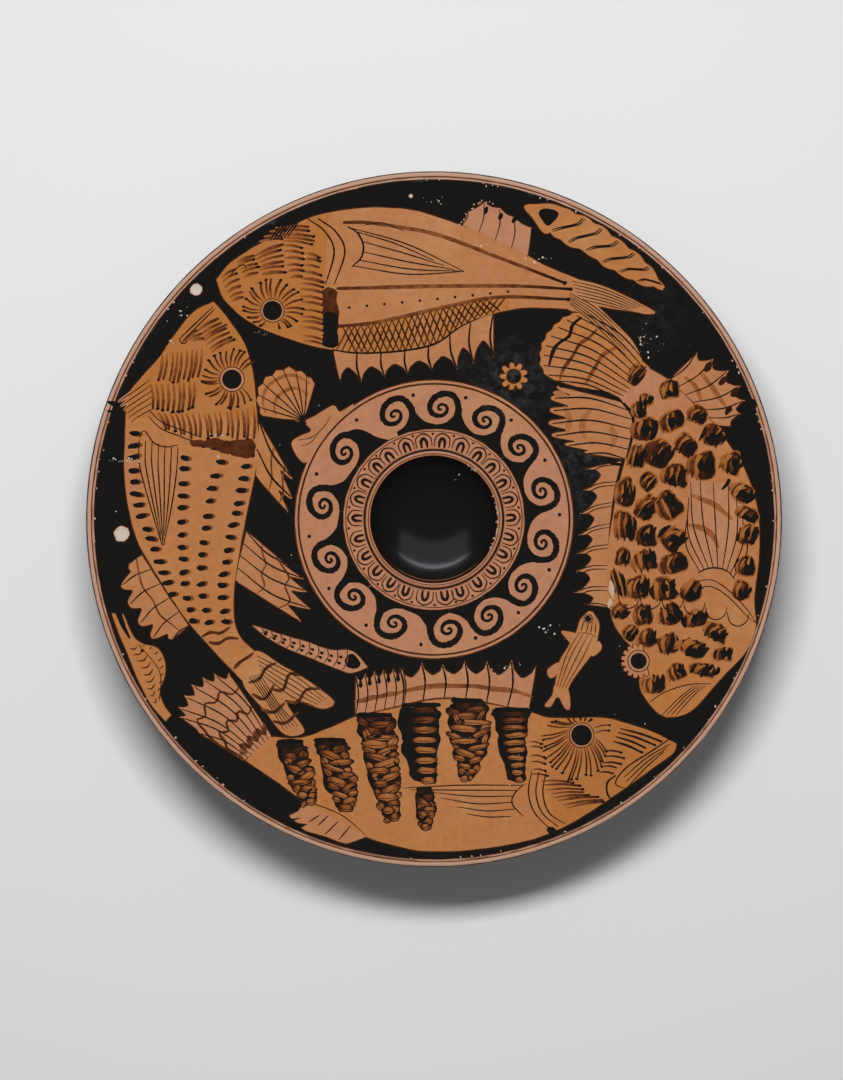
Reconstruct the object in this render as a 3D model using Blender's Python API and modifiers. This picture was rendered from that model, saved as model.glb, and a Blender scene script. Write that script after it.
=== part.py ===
# A fish plate of red-figure pottery, thrown on the wheel: a shallow dished floor that slopes down to a
# small round well, a ridge and a groove round that well, a grooved lip, a rim that hangs down all
# round, and a hollow stem that spreads into a ring foot.
# Metres, +Z up. The origin is the middle of the foot's resting ring, on the table.

import math

import bpy

# Whole plate
PLATE_RADIUS = 0.150  # axis to the outermost edge of the rim
PLATE_HEIGHT = 0.066  # table to the crest of the lip
FLOOR_WALL = 0.0070  # clay between the dished floor and its underside
TURN_STEPS = 80  # flats in one turn of the wheel

# Well, with the ridge and the groove round it
WELL_RADIUS = 0.0273
WELL_DEPTH = 0.0135  # below the inner edge of the floor
WELL_FLAT = 0.0060  # radius of the level middle of the well
WELL_BRIM_ANGLE = 22.0  # degrees short of upright at which the well's wall meets the ridge
WELL_WALL = 0.0075  # clay under the well
RIDGE_WIDTH = 0.0027
RIDGE_RISE = 0.0015
GROOVE_WIDTH = 0.0008
GROOVE_DEPTH = 0.0006

# Floor
FLOOR_FALL = 0.0125  # how far the floor sinks from the lip to the groove
FLOOR_SAG = 0.0012  # how far its middle dips below a straight cone

# Lip and hanging rim
LIP_WIDTH = 0.0043  # edge of the floor to the outermost edge of the rim
ROLL_RADIUS = 0.0014  # the round bead outside the lip's groove
ROLL_INNER_ANGLE = 160.0  # where the bead starts, in the bottom of the lip's groove
ROLL_OUTER_ANGLE = -25.0
RIM_FLARE = 0.0006  # how far the bead stands inside the rim's lower edge
RIM_NECK_DEPTH = 0.0004  # how far the face draws in below the bead
RIM_NECK_DROP = 0.0036  # crest of the lip to the narrowest line of the face
RIM_DROP = 0.0190  # crest of the lip to the rim's lower edge
RIM_WALL = 0.0058
RIM_EDGE_ROUND = 0.0022
UNDER_FILLET = 0.0040  # inside corner between the rim and the underside

# Stem and ring foot
STEM_OUTSET = 0.0107  # how far the stem's waist stands outside the well
STEM_WALL = 0.0070
STEM_SHOULDER = 0.0140  # how far the stem spreads above its waist
HOLLOW_DOME = 0.0045  # rise of the hollow's roof above the stem's waist
FOOT_SPREAD = 0.0180  # waist of the stem to the outermost edge of the foot
FOOT_BEAD = 0.0016  # how far the foot's bead stands out
FOOT_EDGE_HEIGHT = 0.0075
REST_WIDTH = 0.0070  # width of the flat ring that the plate stands on
HOLLOW_START_ANGLE = 248.0  # where the hollow's flare begins above the resting ring

# Levels and radii worked out from the sizes above
LIP_Z = PLATE_HEIGHT
FLOOR_INNER_Z = LIP_Z - FLOOR_FALL
FLOOR_INNER_R = WELL_RADIUS + RIDGE_WIDTH + GROOVE_WIDTH
FLOOR_OUTER_R = PLATE_RADIUS - LIP_WIDTH
WELL_Z = FLOOR_INNER_Z - WELL_DEPTH
HOLLOW_TOP_Z = WELL_Z - WELL_WALL
WAIST_Z = HOLLOW_TOP_Z - HOLLOW_DOME
STEM_RADIUS = WELL_RADIUS + STEM_OUTSET
SHOULDER_R = STEM_RADIUS + STEM_SHOULDER
FOOT_RADIUS = STEM_RADIUS + FOOT_SPREAD
REST_OUTER_R = FOOT_RADIUS - FOOT_BEAD

# Pottery: black gloss over orange clay
GLOSS_COLOUR = (0.014, 0.013, 0.011, 1.0)
GLOSS_ROUGHNESS = 0.32


def curve(centre, reach, start, end, pieces):
    """Points along an elliptical arc, after its start and up to its end; angles in degrees."""
    points = []
    for step in range(1, pieces + 1):
        angle = math.radians(start + (end - start) * step / pieces)
        points.append((centre[0] + reach[0] * math.cos(angle), centre[1] + reach[1] * math.sin(angle)))
    return points


def floor_z(radius):
    share = (radius - FLOOR_INNER_R) / (FLOOR_OUTER_R - FLOOR_INNER_R)
    dip = 4.0 * FLOOR_SAG * share * (1.0 - share)
    return FLOOR_INNER_Z + FLOOR_FALL * share - dip


def under_z(radius):
    return floor_z(radius) - FLOOR_WALL


def between(first, last, pieces):
    """Radii after the first and up to the last, evenly spaced."""
    return [first + (last - first) * step / pieces for step in range(1, pieces + 1)]


def well_points():
    brim = math.radians(WELL_BRIM_ANGLE)
    reach_r = (WELL_RADIUS - WELL_FLAT) / math.cos(brim)
    reach_z = WELL_DEPTH / (1.0 - math.sin(brim))
    centre = (WELL_FLAT, WELL_Z + reach_z)
    middle = [(0.0, WELL_Z), (WELL_FLAT, WELL_Z)]
    return middle + curve(centre, (reach_r, reach_z), -90.0, -WELL_BRIM_ANGLE, 6)


def ridge_points():
    half = RIDGE_WIDTH / 2
    ridge = curve((WELL_RADIUS + half, FLOOR_INNER_Z), (half, RIDGE_RISE), 180.0, 0.0, 4)
    groove_r = WELL_RADIUS + RIDGE_WIDTH
    groove = [(groove_r + GROOVE_WIDTH / 2, FLOOR_INNER_Z - GROOVE_DEPTH)]
    return ridge + groove + [(FLOOR_INNER_R, FLOOR_INNER_Z)]


def floor_points():
    return [(radius, floor_z(radius)) for radius in between(FLOOR_INNER_R, FLOOR_OUTER_R, 5)]


def rim_points():
    bead = (PLATE_RADIUS - RIM_FLARE - ROLL_RADIUS, LIP_Z - ROLL_RADIUS)
    roll = (ROLL_RADIUS, ROLL_RADIUS)
    bottom = bead[0] + ROLL_RADIUS * math.cos(math.radians(ROLL_INNER_ANGLE))
    points = [(bottom, bead[1] + ROLL_RADIUS * math.sin(math.radians(ROLL_INNER_ANGLE)))]
    points += curve(bead, roll, ROLL_INNER_ANGLE, ROLL_OUTER_ANGLE, 5)
    points.append((PLATE_RADIUS - RIM_FLARE - RIM_NECK_DEPTH, LIP_Z - RIM_NECK_DROP))
    edge = (PLATE_RADIUS - RIM_WALL / 2, LIP_Z - RIM_DROP + RIM_EDGE_ROUND)
    points.append((PLATE_RADIUS, edge[1]))
    points += curve(edge, (RIM_WALL / 2, RIM_EDGE_ROUND), 0.0, -180.0, 4)
    return points


def underside_points():
    inner_r = PLATE_RADIUS - RIM_WALL
    corner_r = inner_r - UNDER_FILLET
    corner_z = under_z(corner_r) - UNDER_FILLET
    points = [(inner_r, corner_z)]
    points += curve((corner_r, corner_z), (UNDER_FILLET, UNDER_FILLET), 0.0, 90.0, 2)
    points += [(radius, under_z(radius)) for radius in between(corner_r, SHOULDER_R, 3)]
    return points


def stem_points():
    rise = under_z(SHOULDER_R) - WAIST_Z
    points = curve((SHOULDER_R, WAIST_Z), (STEM_SHOULDER, rise), 90.0, 180.0, 4)
    spread = REST_OUTER_R - STEM_RADIUS
    drop = WAIST_Z - FOOT_EDGE_HEIGHT
    return points + curve((REST_OUTER_R, WAIST_Z), (spread, drop), 180.0, 270.0, 4)


def foot_points():
    half = FOOT_EDGE_HEIGHT / 2
    points = curve((REST_OUTER_R, half), (FOOT_BEAD, half), 90.0, -90.0, 4)
    return points + [(REST_OUTER_R - REST_WIDTH, 0.0)]


def hollow_points():
    """The hollow keeps the stem's wall and closes in a low dome under the well."""
    reach = (REST_OUTER_R - STEM_RADIUS + STEM_WALL, WAIST_Z - FOOT_EDGE_HEIGHT + STEM_WALL)
    start = math.radians(HOLLOW_START_ANGLE)
    mouth = (REST_OUTER_R + reach[0] * math.cos(start), WAIST_Z + reach[1] * math.sin(start))
    points = [mouth] + curve((REST_OUTER_R, WAIST_Z), reach, HOLLOW_START_ANGLE, 180.0, 4)
    points += curve((0.0, WAIST_Z), (STEM_RADIUS - STEM_WALL, HOLLOW_DOME), 0.0, 90.0, 4)
    points[-1] = (0.0, HOLLOW_TOP_Z)
    return points


def pottery():
    material = bpy.data.materials.new("black_gloss_pottery")
    material.use_nodes = True
    shader = material.node_tree.nodes["Principled BSDF"]
    shader.inputs["Base Color"].default_value = GLOSS_COLOUR
    shader.inputs["Roughness"].default_value = GLOSS_ROUGHNESS
    shader.inputs["Metallic"].default_value = 0.0
    material.diffuse_color = GLOSS_COLOUR
    return material


def turned_plate(collection):
    """The whole plate is one profile, from the middle of the well out to the rim and back beneath."""
    profile = well_points() + ridge_points() + floor_points() + rim_points()
    profile += underside_points() + stem_points() + foot_points() + hollow_points()
    mesh = bpy.data.meshes.new("fish_plate")
    edges = [(index, index + 1) for index in range(len(profile) - 1)]
    mesh.from_pydata([(radius, 0.0, height) for radius, height in profile], edges, [])
    plate = bpy.data.objects.new("fish_plate", mesh)
    plate.data.materials.append(pottery())
    collection.objects.link(plate)
    screw = plate.modifiers.new("turn", "SCREW")
    screw.steps = TURN_STEPS
    screw.render_steps = TURN_STEPS
    screw.use_merge_vertices = True
    screw.merge_threshold = 0.0001
    screw.use_smooth_shade = True
    return plate


def build():
    for old in list(bpy.data.objects):
        bpy.data.objects.remove(old, do_unlink=True)
    collection = bpy.data.collections.new("Fish plate")
    bpy.context.scene.collection.children.link(collection)
    turned_plate(collection)


build()
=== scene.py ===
import math
import random

import bmesh
import bpy
import numpy as np
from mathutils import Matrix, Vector, noise
from mathutils.geometry import delaunay_2d_cdt


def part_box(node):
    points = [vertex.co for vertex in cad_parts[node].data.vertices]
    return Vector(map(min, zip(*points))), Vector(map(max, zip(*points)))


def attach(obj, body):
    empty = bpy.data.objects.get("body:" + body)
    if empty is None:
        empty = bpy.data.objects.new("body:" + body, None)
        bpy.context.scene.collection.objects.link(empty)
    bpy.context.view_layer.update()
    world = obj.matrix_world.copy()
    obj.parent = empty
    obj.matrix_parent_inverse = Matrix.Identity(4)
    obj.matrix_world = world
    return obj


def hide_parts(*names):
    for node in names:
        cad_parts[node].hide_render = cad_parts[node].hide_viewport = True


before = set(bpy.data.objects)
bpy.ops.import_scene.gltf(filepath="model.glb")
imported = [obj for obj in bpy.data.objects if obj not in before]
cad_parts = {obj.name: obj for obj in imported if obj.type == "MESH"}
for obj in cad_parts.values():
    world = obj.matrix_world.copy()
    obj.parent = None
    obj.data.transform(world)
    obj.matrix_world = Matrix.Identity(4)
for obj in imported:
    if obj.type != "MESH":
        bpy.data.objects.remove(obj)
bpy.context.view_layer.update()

# A fish plate of red-figure pottery. The painting is worked out flat, in millimetres seen from above
# (x to the right, y away from the viewer), cut into the mesh, and then raised onto the turned form.
low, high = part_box("fish_plate")
mm = 0.001
hand = random.Random(41)  # the painter's unsteadiness, the same on every run
print("frame loaded, plate", round((high.x - low.x) / mm, 1), "mm across")


# The potter's profile

plateShape = {
    "radius": high.x / mm, "height": high.z / mm, "floorWall": 7.0, "steps": 240,
    "wellRadius": 27.3, "wellDepth": 13.5, "wellFlat": 6.0, "wellBrimAngle": 22.0, "wellWall": 7.5,
    "ridgeWidth": 2.7, "ridgeRise": 1.5, "grooveWidth": 0.8, "grooveDepth": 0.6,
    "floorFall": 12.5, "floorSag": 1.2, "lipWidth": 4.3, "rollRadius": 1.4, "rollInnerAngle": 160.0,
    "rollOuterAngle": -25.0, "rimFlare": 0.6, "rimNeckDepth": 0.4, "rimNeckDrop": 3.6, "rimDrop": 19.0,
    "rimWall": 5.8, "rimEdgeRound": 2.2, "underFillet": 4.0, "stemOutset": 10.7, "stemWall": 7.0,
    "stemShoulder": 14.0, "hollowDome": 4.5, "footSpread": 18.0, "footBead": 1.6,
    "footEdgeHeight": 7.5, "restWidth": 7.0, "hollowStartAngle": 248.0,
}
s = plateShape
lipZ = s["height"]
floorInnerZ = lipZ - s["floorFall"]
floorInnerR = s["wellRadius"] + s["ridgeWidth"] + s["grooveWidth"]
floorOuterR = s["radius"] - s["lipWidth"]
wellZ = floorInnerZ - s["wellDepth"]
hollowTopZ = wellZ - s["wellWall"]
waistZ = hollowTopZ - s["hollowDome"]
stemRadius = s["wellRadius"] + s["stemOutset"]
shoulderR = stemRadius + s["stemShoulder"]
footRadius = stemRadius + s["footSpread"]
restOuterR = footRadius - s["footBead"]
bead = (s["radius"] - s["rimFlare"] - s["rollRadius"], lipZ - s["rollRadius"])
rollEdgeR = bead[0] + s["rollRadius"]


def arc(centre, reach, start, end, pieces):
    # points along an elliptical arc, after its start and up to its end
    turns = [math.radians(start + (end - start) * step / pieces) for step in range(1, pieces + 1)]
    return [(centre[0] + reach[0] * math.cos(a), centre[1] + reach[1] * math.sin(a)) for a in turns]


def floorZ(radius):
    share = (radius - floorInnerR) / (floorOuterR - floorInnerR)
    return floorInnerZ + s["floorFall"] * share - 4.0 * s["floorSag"] * share * (1.0 - share)


def topProfile():
    brim = math.radians(s["wellBrimAngle"])
    reach = ((s["wellRadius"] - s["wellFlat"]) / math.cos(brim), s["wellDepth"] / (1 - math.sin(brim)))
    points = [(0.0, wellZ), (s["wellFlat"], wellZ)]
    points += arc((s["wellFlat"], wellZ + reach[1]), reach, -90.0, -s["wellBrimAngle"], 14)
    half = s["ridgeWidth"] / 2
    points += arc((s["wellRadius"] + half, floorInnerZ), (half, s["ridgeRise"]), 180.0, 0.0, 8)
    grooveR = s["wellRadius"] + s["ridgeWidth"] + s["grooveWidth"] / 2
    points += [(grooveR, floorInnerZ - s["grooveDepth"]), (floorInnerR, floorInnerZ)]
    points += [(r, floorZ(r)) for r in np.linspace(floorInnerR, floorOuterR, 25)[1:]]
    angle = math.radians(s["rollInnerAngle"])
    points += [(bead[0] + s["rollRadius"] * math.cos(angle), bead[1] + s["rollRadius"] * math.sin(angle))]
    return points + arc(bead, (s["rollRadius"], s["rollRadius"]), s["rollInnerAngle"], 0.0, 8)


def hiddenProfile():
    # from the bead's outermost line down the rim, in beneath the floor and up into the hollow foot
    points = [(rollEdgeR, bead[1])]
    points += arc(bead, (s["rollRadius"], s["rollRadius"]), 0.0, s["rollOuterAngle"], 2)
    neckR = s["radius"] - s["rimFlare"] - s["rimNeckDepth"]
    edge = (s["radius"] - s["rimWall"] / 2, lipZ - s["rimDrop"] + s["rimEdgeRound"])
    points += [(neckR, lipZ - s["rimNeckDrop"]), (neckR + 0.25, lipZ - 7.5)]
    points += [(s["radius"] - 0.25, lipZ - 13.0), (s["radius"], edge[1])]
    points += arc(edge, (s["rimWall"] / 2, s["rimEdgeRound"]), 0.0, -180.0, 10)
    fillet = s["underFillet"]
    cornerR = s["radius"] - s["rimWall"] - fillet
    cornerZ = floorZ(cornerR) - s["floorWall"] - fillet
    points += [(cornerR + fillet, cornerZ)] + arc((cornerR, cornerZ), (fillet, fillet), 0.0, 90.0, 5)
    points += [(r, floorZ(r) - s["floorWall"]) for r in np.linspace(cornerR, shoulderR, 9)[1:]]
    rise = floorZ(shoulderR) - s["floorWall"] - waistZ
    points += arc((shoulderR, waistZ), (s["stemShoulder"], rise), 90.0, 180.0, 8)
    drop = waistZ - s["footEdgeHeight"]
    points += arc((restOuterR, waistZ), (restOuterR - stemRadius, drop), 180.0, 270.0, 8)
    half = s["footEdgeHeight"] / 2
    points += arc((restOuterR, half), (s["footBead"], half), 90.0, -90.0, 8)
    points += [(restOuterR - s["restWidth"], 0.0)]
    reach = (restOuterR - stemRadius + s["stemWall"], drop + s["stemWall"])
    points += [arc((restOuterR, waistZ), reach, 0.0, s["hollowStartAngle"], 1)[0]]
    points += arc((restOuterR, waistZ), reach, s["hollowStartAngle"], 180.0, 8)
    points += arc((0.0, waistZ), (stemRadius - s["stemWall"], s["hollowDome"]), 0.0, 90.0, 8)
    return points


# Brushes: every stroke is an outline in millimetres with the slip it leaves

levels = ["ground", "halo", "fin", "body", "wash", "brown", "line", "ring", "ringLine", "lip", "scar"]
painting = []


def smooth(points, closed=False, step=1.1):
    # an even run of points along a smooth curve through a few
    p = np.array(points, float)
    if len(p) == 2 and not closed:
        dense = p
    else:
        ends = (p[-1:], p[:2]) if closed else (2 * p[:1] - p[1:2], 2 * p[-1:] - p[-2:-1])
        q = np.vstack([ends[0], p, ends[1]])
        t = np.linspace(0, 1, 14, endpoint=False)[:, None]
        spans = []
        for a, b, c, d in zip(q, q[1:], q[2:], q[3:]):
            spans.append(0.5 * (2 * b + (c - a) * t + (2 * a - 5 * b + 4 * c - d) * t ** 2
                                + (3 * b - a - 3 * c + d) * t ** 3))
        dense = np.vstack(spans + [p[:1] if closed else p[-1:]])
    reach = np.concatenate([[0], np.cumsum(np.linalg.norm(np.diff(dense, axis=0), axis=1))])
    count = max(2, int(round(reach[-1] / step)) + 1)
    even = np.linspace(0, reach[-1], count)
    run = np.column_stack([np.interp(even, reach, dense[:, k]) for k in (0, 1)])
    return run[:-1] if closed else run


def unsteady(edge, amount=0.16, grain=5.0):
    # the small wander of a hand-drawn edge
    seed = hand.uniform(0, 50)
    moved = [(x + amount * noise.noise(Vector((x / grain, y / grain, seed))),
              y + amount * noise.noise(Vector((x / grain, y / grain, seed + 9)))) for x, y in edge]
    return np.array(moved)


def grown(edge, amount):
    # an outline moved outwards
    area = np.sum(edge[:, 0] * np.roll(edge[:, 1], -1) - np.roll(edge[:, 0], -1) * edge[:, 1])
    along = np.roll(edge, -1, 0) - np.roll(edge, 1, 0)
    along /= np.maximum(np.linalg.norm(along, axis=1), 1e-6)[:, None]
    out = np.column_stack([along[:, 1], -along[:, 0]]) * (1 if area > 0 else -1)
    return edge + out * amount


def lay(edge, level, slip=None, wash=None, chip=None, along=None):
    # slip, wash and chip are one value or several from the start to the end of the line "along"
    edge = np.array(edge, float)
    painting.append({"edge": edge, "level": levels.index(level), "slip": slip, "wash": wash,
                     "chip": chip, "along": edge if along is None else np.array(along, float)})


def brush(points, width=0.5, slip=0.9, level="line", taper=(0.7, 1, 1, 0.55), step=None):
    path = smooth(points, step=step or max(0.9, min(1.9, width * 1.8)))
    if len(path) < 3:
        path = np.linspace(path[0], path[-1], 3)
    run = np.gradient(path, axis=0)
    run /= np.maximum(np.linalg.norm(run, axis=1), 1e-6)[:, None]
    side = np.column_stack([-run[:, 1], run[:, 0]])
    share = np.linspace(0, 1, len(path))
    half = np.interp(share, np.linspace(0, 1, len(taper)), taper) * width / 2
    half = (half * [hand.uniform(0.88, 1.12) for _ in share])[:, None]
    tips = (path[:1] - run[:1] * half[0], path[-1:] + run[-1:] * half[-1])
    edge = np.vstack([tips[0], path - side * half, tips[1], (path + side * half)[::-1]])
    lay(edge, level, slip, along=path)


def oval(centre, size, turn=0.0, rough=0.08, count=10):
    # a small closed outline, its size in half widths and its turn in degrees
    a = np.linspace(0, 2 * math.pi, count, endpoint=False)
    r = np.array([1 + hand.uniform(-rough, rough) for _ in a])
    x, y = np.cos(a) * size[0] * r, np.sin(a) * size[1] * r
    c, d = math.cos(math.radians(turn)), math.sin(math.radians(turn))
    return np.column_stack([centre[0] + x * c - y * d, centre[1] + x * d + y * c])


def dot(centre, size=0.6, slip=0.95, level="line", stretch=1.0, turn=0.0):
    lay(oval(centre, (size * stretch, size), turn, count=8), level, slip)


def mix(a, b, share):
    return np.array(a, float) * (1 - share) + np.array(b, float) * share


def polar(radius, degrees):
    return np.array((radius * math.cos(math.radians(degrees)), radius * math.sin(math.radians(degrees))))


def ringPoints(radius, count):
    turns = np.arange(count) * 2 * math.pi / count
    return np.column_stack([np.cos(turns), np.sin(turns)]) * radius


def sampled(line, share):
    place = min(max(share, 0.0), 1.0) * (len(line) - 1)
    first = min(int(place), len(line) - 2)
    return mix(line[first], line[first + 1], place - first)


def reserve(edge, level="body", wash=0.6, along=None, rim=0.5):
    # a figure left in the colour of the clay, with the brown edge where the black was filled in
    edge = unsteady(edge)
    lay(grown(edge, rim), "halo", 0.72, 0.6)
    lay(edge, level, 0.0, wash, along=along)
    return edge


def fin(base, tips, bite=0.3, sharp=1.0, wash=0.45, rays=(0.45, 0.9), bands=(), twin=0.0):
    # a fin between its root line and its tips: bite is how deep the edge is notched between two tips,
    # sharp how pointed the tips are, and 0 makes round fingers
    root, count = smooth(base), len(tips)
    edge = [root[0]]
    for index, (a, b) in enumerate(zip(tips, tips[1:])):
        for piece in range(9):
            share = piece / 9
            inner = 1 - abs(2 * share - 1)
            depth = bite * (inner ** sharp if sharp else (inner * inner * (3 - 2 * inner)) ** 2)
            foot = sampled(root, (index + share) / (count - 1))
            edge.append(mix(mix(a, b, share), foot, depth))
    edge += [np.array(tips[-1], float)] + list(root[::-1])
    reserve(np.array(edge), "fin", wash)
    for fraction, sway, slip, width in bands:
        line = []
        for index in range(count + 1):
            tip = sampled(np.array(tips, float), index / count)
            line.append(mix(sampled(root, index / count), tip, fraction + sway * (0.5 - index % 2)))
        brush(line, width, (slip, slip + 0.12, slip), "wash", taper=(0.6, 1, 0.7, 1, 0.5))
    for index, tip in enumerate(tips):
        foot = sampled(root, index / (count - 1))
        bend = np.array((tip[1] - foot[1], foot[0] - tip[0])) * 0.07
        for shift in (0.0, twin)[:2 if twin else 1]:
            aside = np.array((0.0, shift))
            brush([foot + aside, mix(foot, tip, 0.5) + bend + aside,
                   mix(foot, tip, 0.95 - 0.12 * bool(shift)) + aside], rays[0], rays[1],
                  taper=(0.6, 0.9, 1.1, 0.7))


def spread(upper, lower):
    # at(u, v): u runs from the snout to the tail, v from the belly to the back
    top, bottom = smooth(upper), smooth(lower)
    return lambda u, v: mix(sampled(bottom, u), sampled(top, u), v)


def fishBody(f, one, other, tones, count=14):
    # a body reserved between two outlines, its head washed a deeper gold
    at = spread(f[one], f[other])
    middle = [at(u, 0.5) for u in np.linspace(0, 1, count)]
    reserve(np.vstack([smooth(f[one]), smooth(f[other])[::-1][:-1]]), "body", tones, middle)
    head = [at(u, 0.99) for u in np.linspace(0.01, f["headEnd"], 14)]
    head += [at(u, 0.01) for u in np.linspace(f["headEnd"], 0.01, 14)]
    lay(head, "wash", 0.1, 1.0)


def eye(centre, ring=4.9, pupil=3.9):
    lay(oval(centre, (ring + 0.3, ring + 0.3), rough=0.01, count=28), "line", 0.8)
    lay(oval(centre, (ring - 0.1, ring - 0.1), rough=0.01, count=28), "line", 0.0, 0.2)
    lay(oval(centre, (pupil + 0.3, pupil + 0.3), rough=0.01, count=26), "line", 0.75)
    lay(oval(centre, (pupil, pupil), rough=0.015, count=26), "line", 1.0)


def combed(first, last, count, width=1.1, slip=0.45, dots=0.7, bow=0.5):
    # strokes side by side from one guide line to another, many running into a dark touch
    first, last = smooth(first), smooth(last)
    for k in range(count):
        share = (k + hand.uniform(-0.2, 0.2)) / max(count - 1, 1)
        start, end = sampled(first, share), sampled(last, share + hand.uniform(-0.02, 0.02))
        along = (end - start) * hand.uniform(0.9, 1.06)
        bend = start + along * 0.5 + np.array((-along[1], along[0])) / max(np.linalg.norm(along), 0.1) * bow
        brush([start, bend, start + along], width * hand.uniform(0.82, 1.15),
              (slip - 0.1, slip, slip + 0.08, slip + 0.22), "brown", (0.5, 1, 1, 0.8))
        if hand.random() < dots:
            dot(start + along, 0.5 + 0.12 * width, 0.92, stretch=hand.uniform(1.0, 1.6),
                turn=hand.uniform(-30, 30))


def around(centre, radius, first, last):
    # guide line: an arc about a point, angles in degrees
    return [np.array(centre) + polar(radius, angle) for angle in np.linspace(first, last, 9)]


print("brushes ready")
# The ring of running waves and the egg pattern round the well

ringBorder = {
    "outer": 60.0, "inner": 26.0, "halo": 0.55, "line": 58.6, "lineWidth": 0.84,
    "waveFoot": 39.6, "waveCentre": 48.3, "dotRadius": 54.4, "curlWidth": 2.72, "longPitch": 27.0,
    "longUpTo": 150.0,
    "waves": [347.9, 323.2, 299.6, 277.5, 249.1, 224.0, 201.1, 172.9, 143.2, 110.9, 86.4, 62.7, 39.9, 14.7],
    "curl": [(7.8, -3.0), (7.4, -1.0), (7.2, 1.0), (6.6, 3.2), (5.0, 5.2), (2.1, 6.0), (-0.9, 5.4),
             (-3.3, 3.7), (-4.6, 1.2), (-4.5, -0.9), (-3.2, -2.6), (-0.9, -3.3), (1.4, -2.7), (2.6, -1.0),
             (2.4, 0.6), (0.9, 1.5), (-0.6, 1.2), (-1.25, 0.1), (-0.5, -0.7), (0.2, -0.5)],
    "hollow": [(-1.8, -7.2), (2.6, -6.1), (5.3, -3.6), (6.4, -1.4), (6.4, 0.8)],
    "slope": [(8.3, 0.8), (8.9, -0.1), (10.3, -2.7), (12.4, -5.0), (14.7, -6.3)],
    "longSlope": [(6.6, 5.4), (10.5, 3.3), (13.1, -0.1), (15.3, -4.7), (19.6, -8.4)],
    "eggOuter": 39.1, "eggLine": 38.2, "eggMiddle": 35.5, "eggInner": 31.0, "eggs": 26,
    "eggArch": [(-1, 0.1), (-1.0, 0.4), (-0.82, 0.76), (0, 1.0), (0.82, 0.76), (1.0, 0.4), (1, 0.1)],
}


def bandRing(outer, inner, level, slip, wash=None, rough=0.0):
    # a painted ring; its two edges are joined at angle 0
    turns = np.linspace(0, 2 * math.pi, 241)
    edges = []
    for radius in (outer, inner):
        line = np.column_stack([radius * np.cos(turns), radius * np.sin(turns)])
        edges.append(unsteady(line[:-1], rough, 4.0) if rough else line[:-1])
    outline = [edges[0], edges[0][:1], edges[1][:1], edges[1][::-1]]
    lay(np.vstack(outline), level, slip, wash)


def waveBorder():
    b = ringBorder
    bandRing(b["outer"] + b["halo"], b["outer"] - 1, "halo", 0.7, 0.2, 0.2)
    bandRing(b["outer"], b["inner"], "body", 0.0, 0.12, 0.16)
    half = b["lineWidth"] / 2
    bandRing(b["line"] + half, b["line"] - half, "brown", 0.7, rough=0.08)
    for index, angle in enumerate(b["waves"]):
        onward = (b["waves"][1:] + [b["waves"][0] - 360.0])[index]
        pitch = math.radians((angle - onward) % 360.0) * b["waveCentre"]
        turn, size = hand.uniform(-5, 5), hand.uniform(0.98, 1.08)
        spot = polar(b["waveCentre"], angle)

        def onRing(x, y):
            # x along the ring, clockwise from the curl's middle, and y outwards
            return polar(b["waveCentre"] + y, angle - math.degrees(x / b["waveCentre"]))

        # the curl winds inwards from the top of the wave's stem
        side, out = polar(1.0, angle - 90 + turn), polar(1.0, angle + turn)
        curl = [spot + (side * x + out * y) * size for x, y in b["curl"]]
        curl[0] = onRing(*b["curl"][0])
        brush(curl, b["curlWidth"], (1.0, 0.93, 0.95, 0.93, 0.95, 0.9), "line",
              (1.1, 1.1, 1.0, 0.98, 1.02, 1.0, 0.92, 0.88, 0.74, 0.6, 0.52, 0.46, 0.4), step=0.7)
        # its heavy foot: the clay's hollow on one side, the slope down to the next wave on the other
        long = pitch > b["longPitch"] and angle < b["longUpTo"]
        slope = b["longSlope"] if long else b["slope"] + [(pitch - 1.8, -7.2)]
        end, depth = slope[-1][0], b["waveFoot"] - b["waveCentre"]
        outline = smooth([onRing(x, y) for x, y in b["hollow"]])
        outline = np.vstack([outline, smooth([onRing(x, y) for x, y in slope]),
                             [onRing(x, depth - 0.5) for x in np.linspace(end, -1.8, 9)]])
        lay(unsteady(outline, 0.12), "line", 1.0)
        dot(polar(b["dotRadius"], angle - 0.5 * math.degrees(pitch / b["waveCentre"]) + 0.8), 0.85, 0.93)


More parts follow.
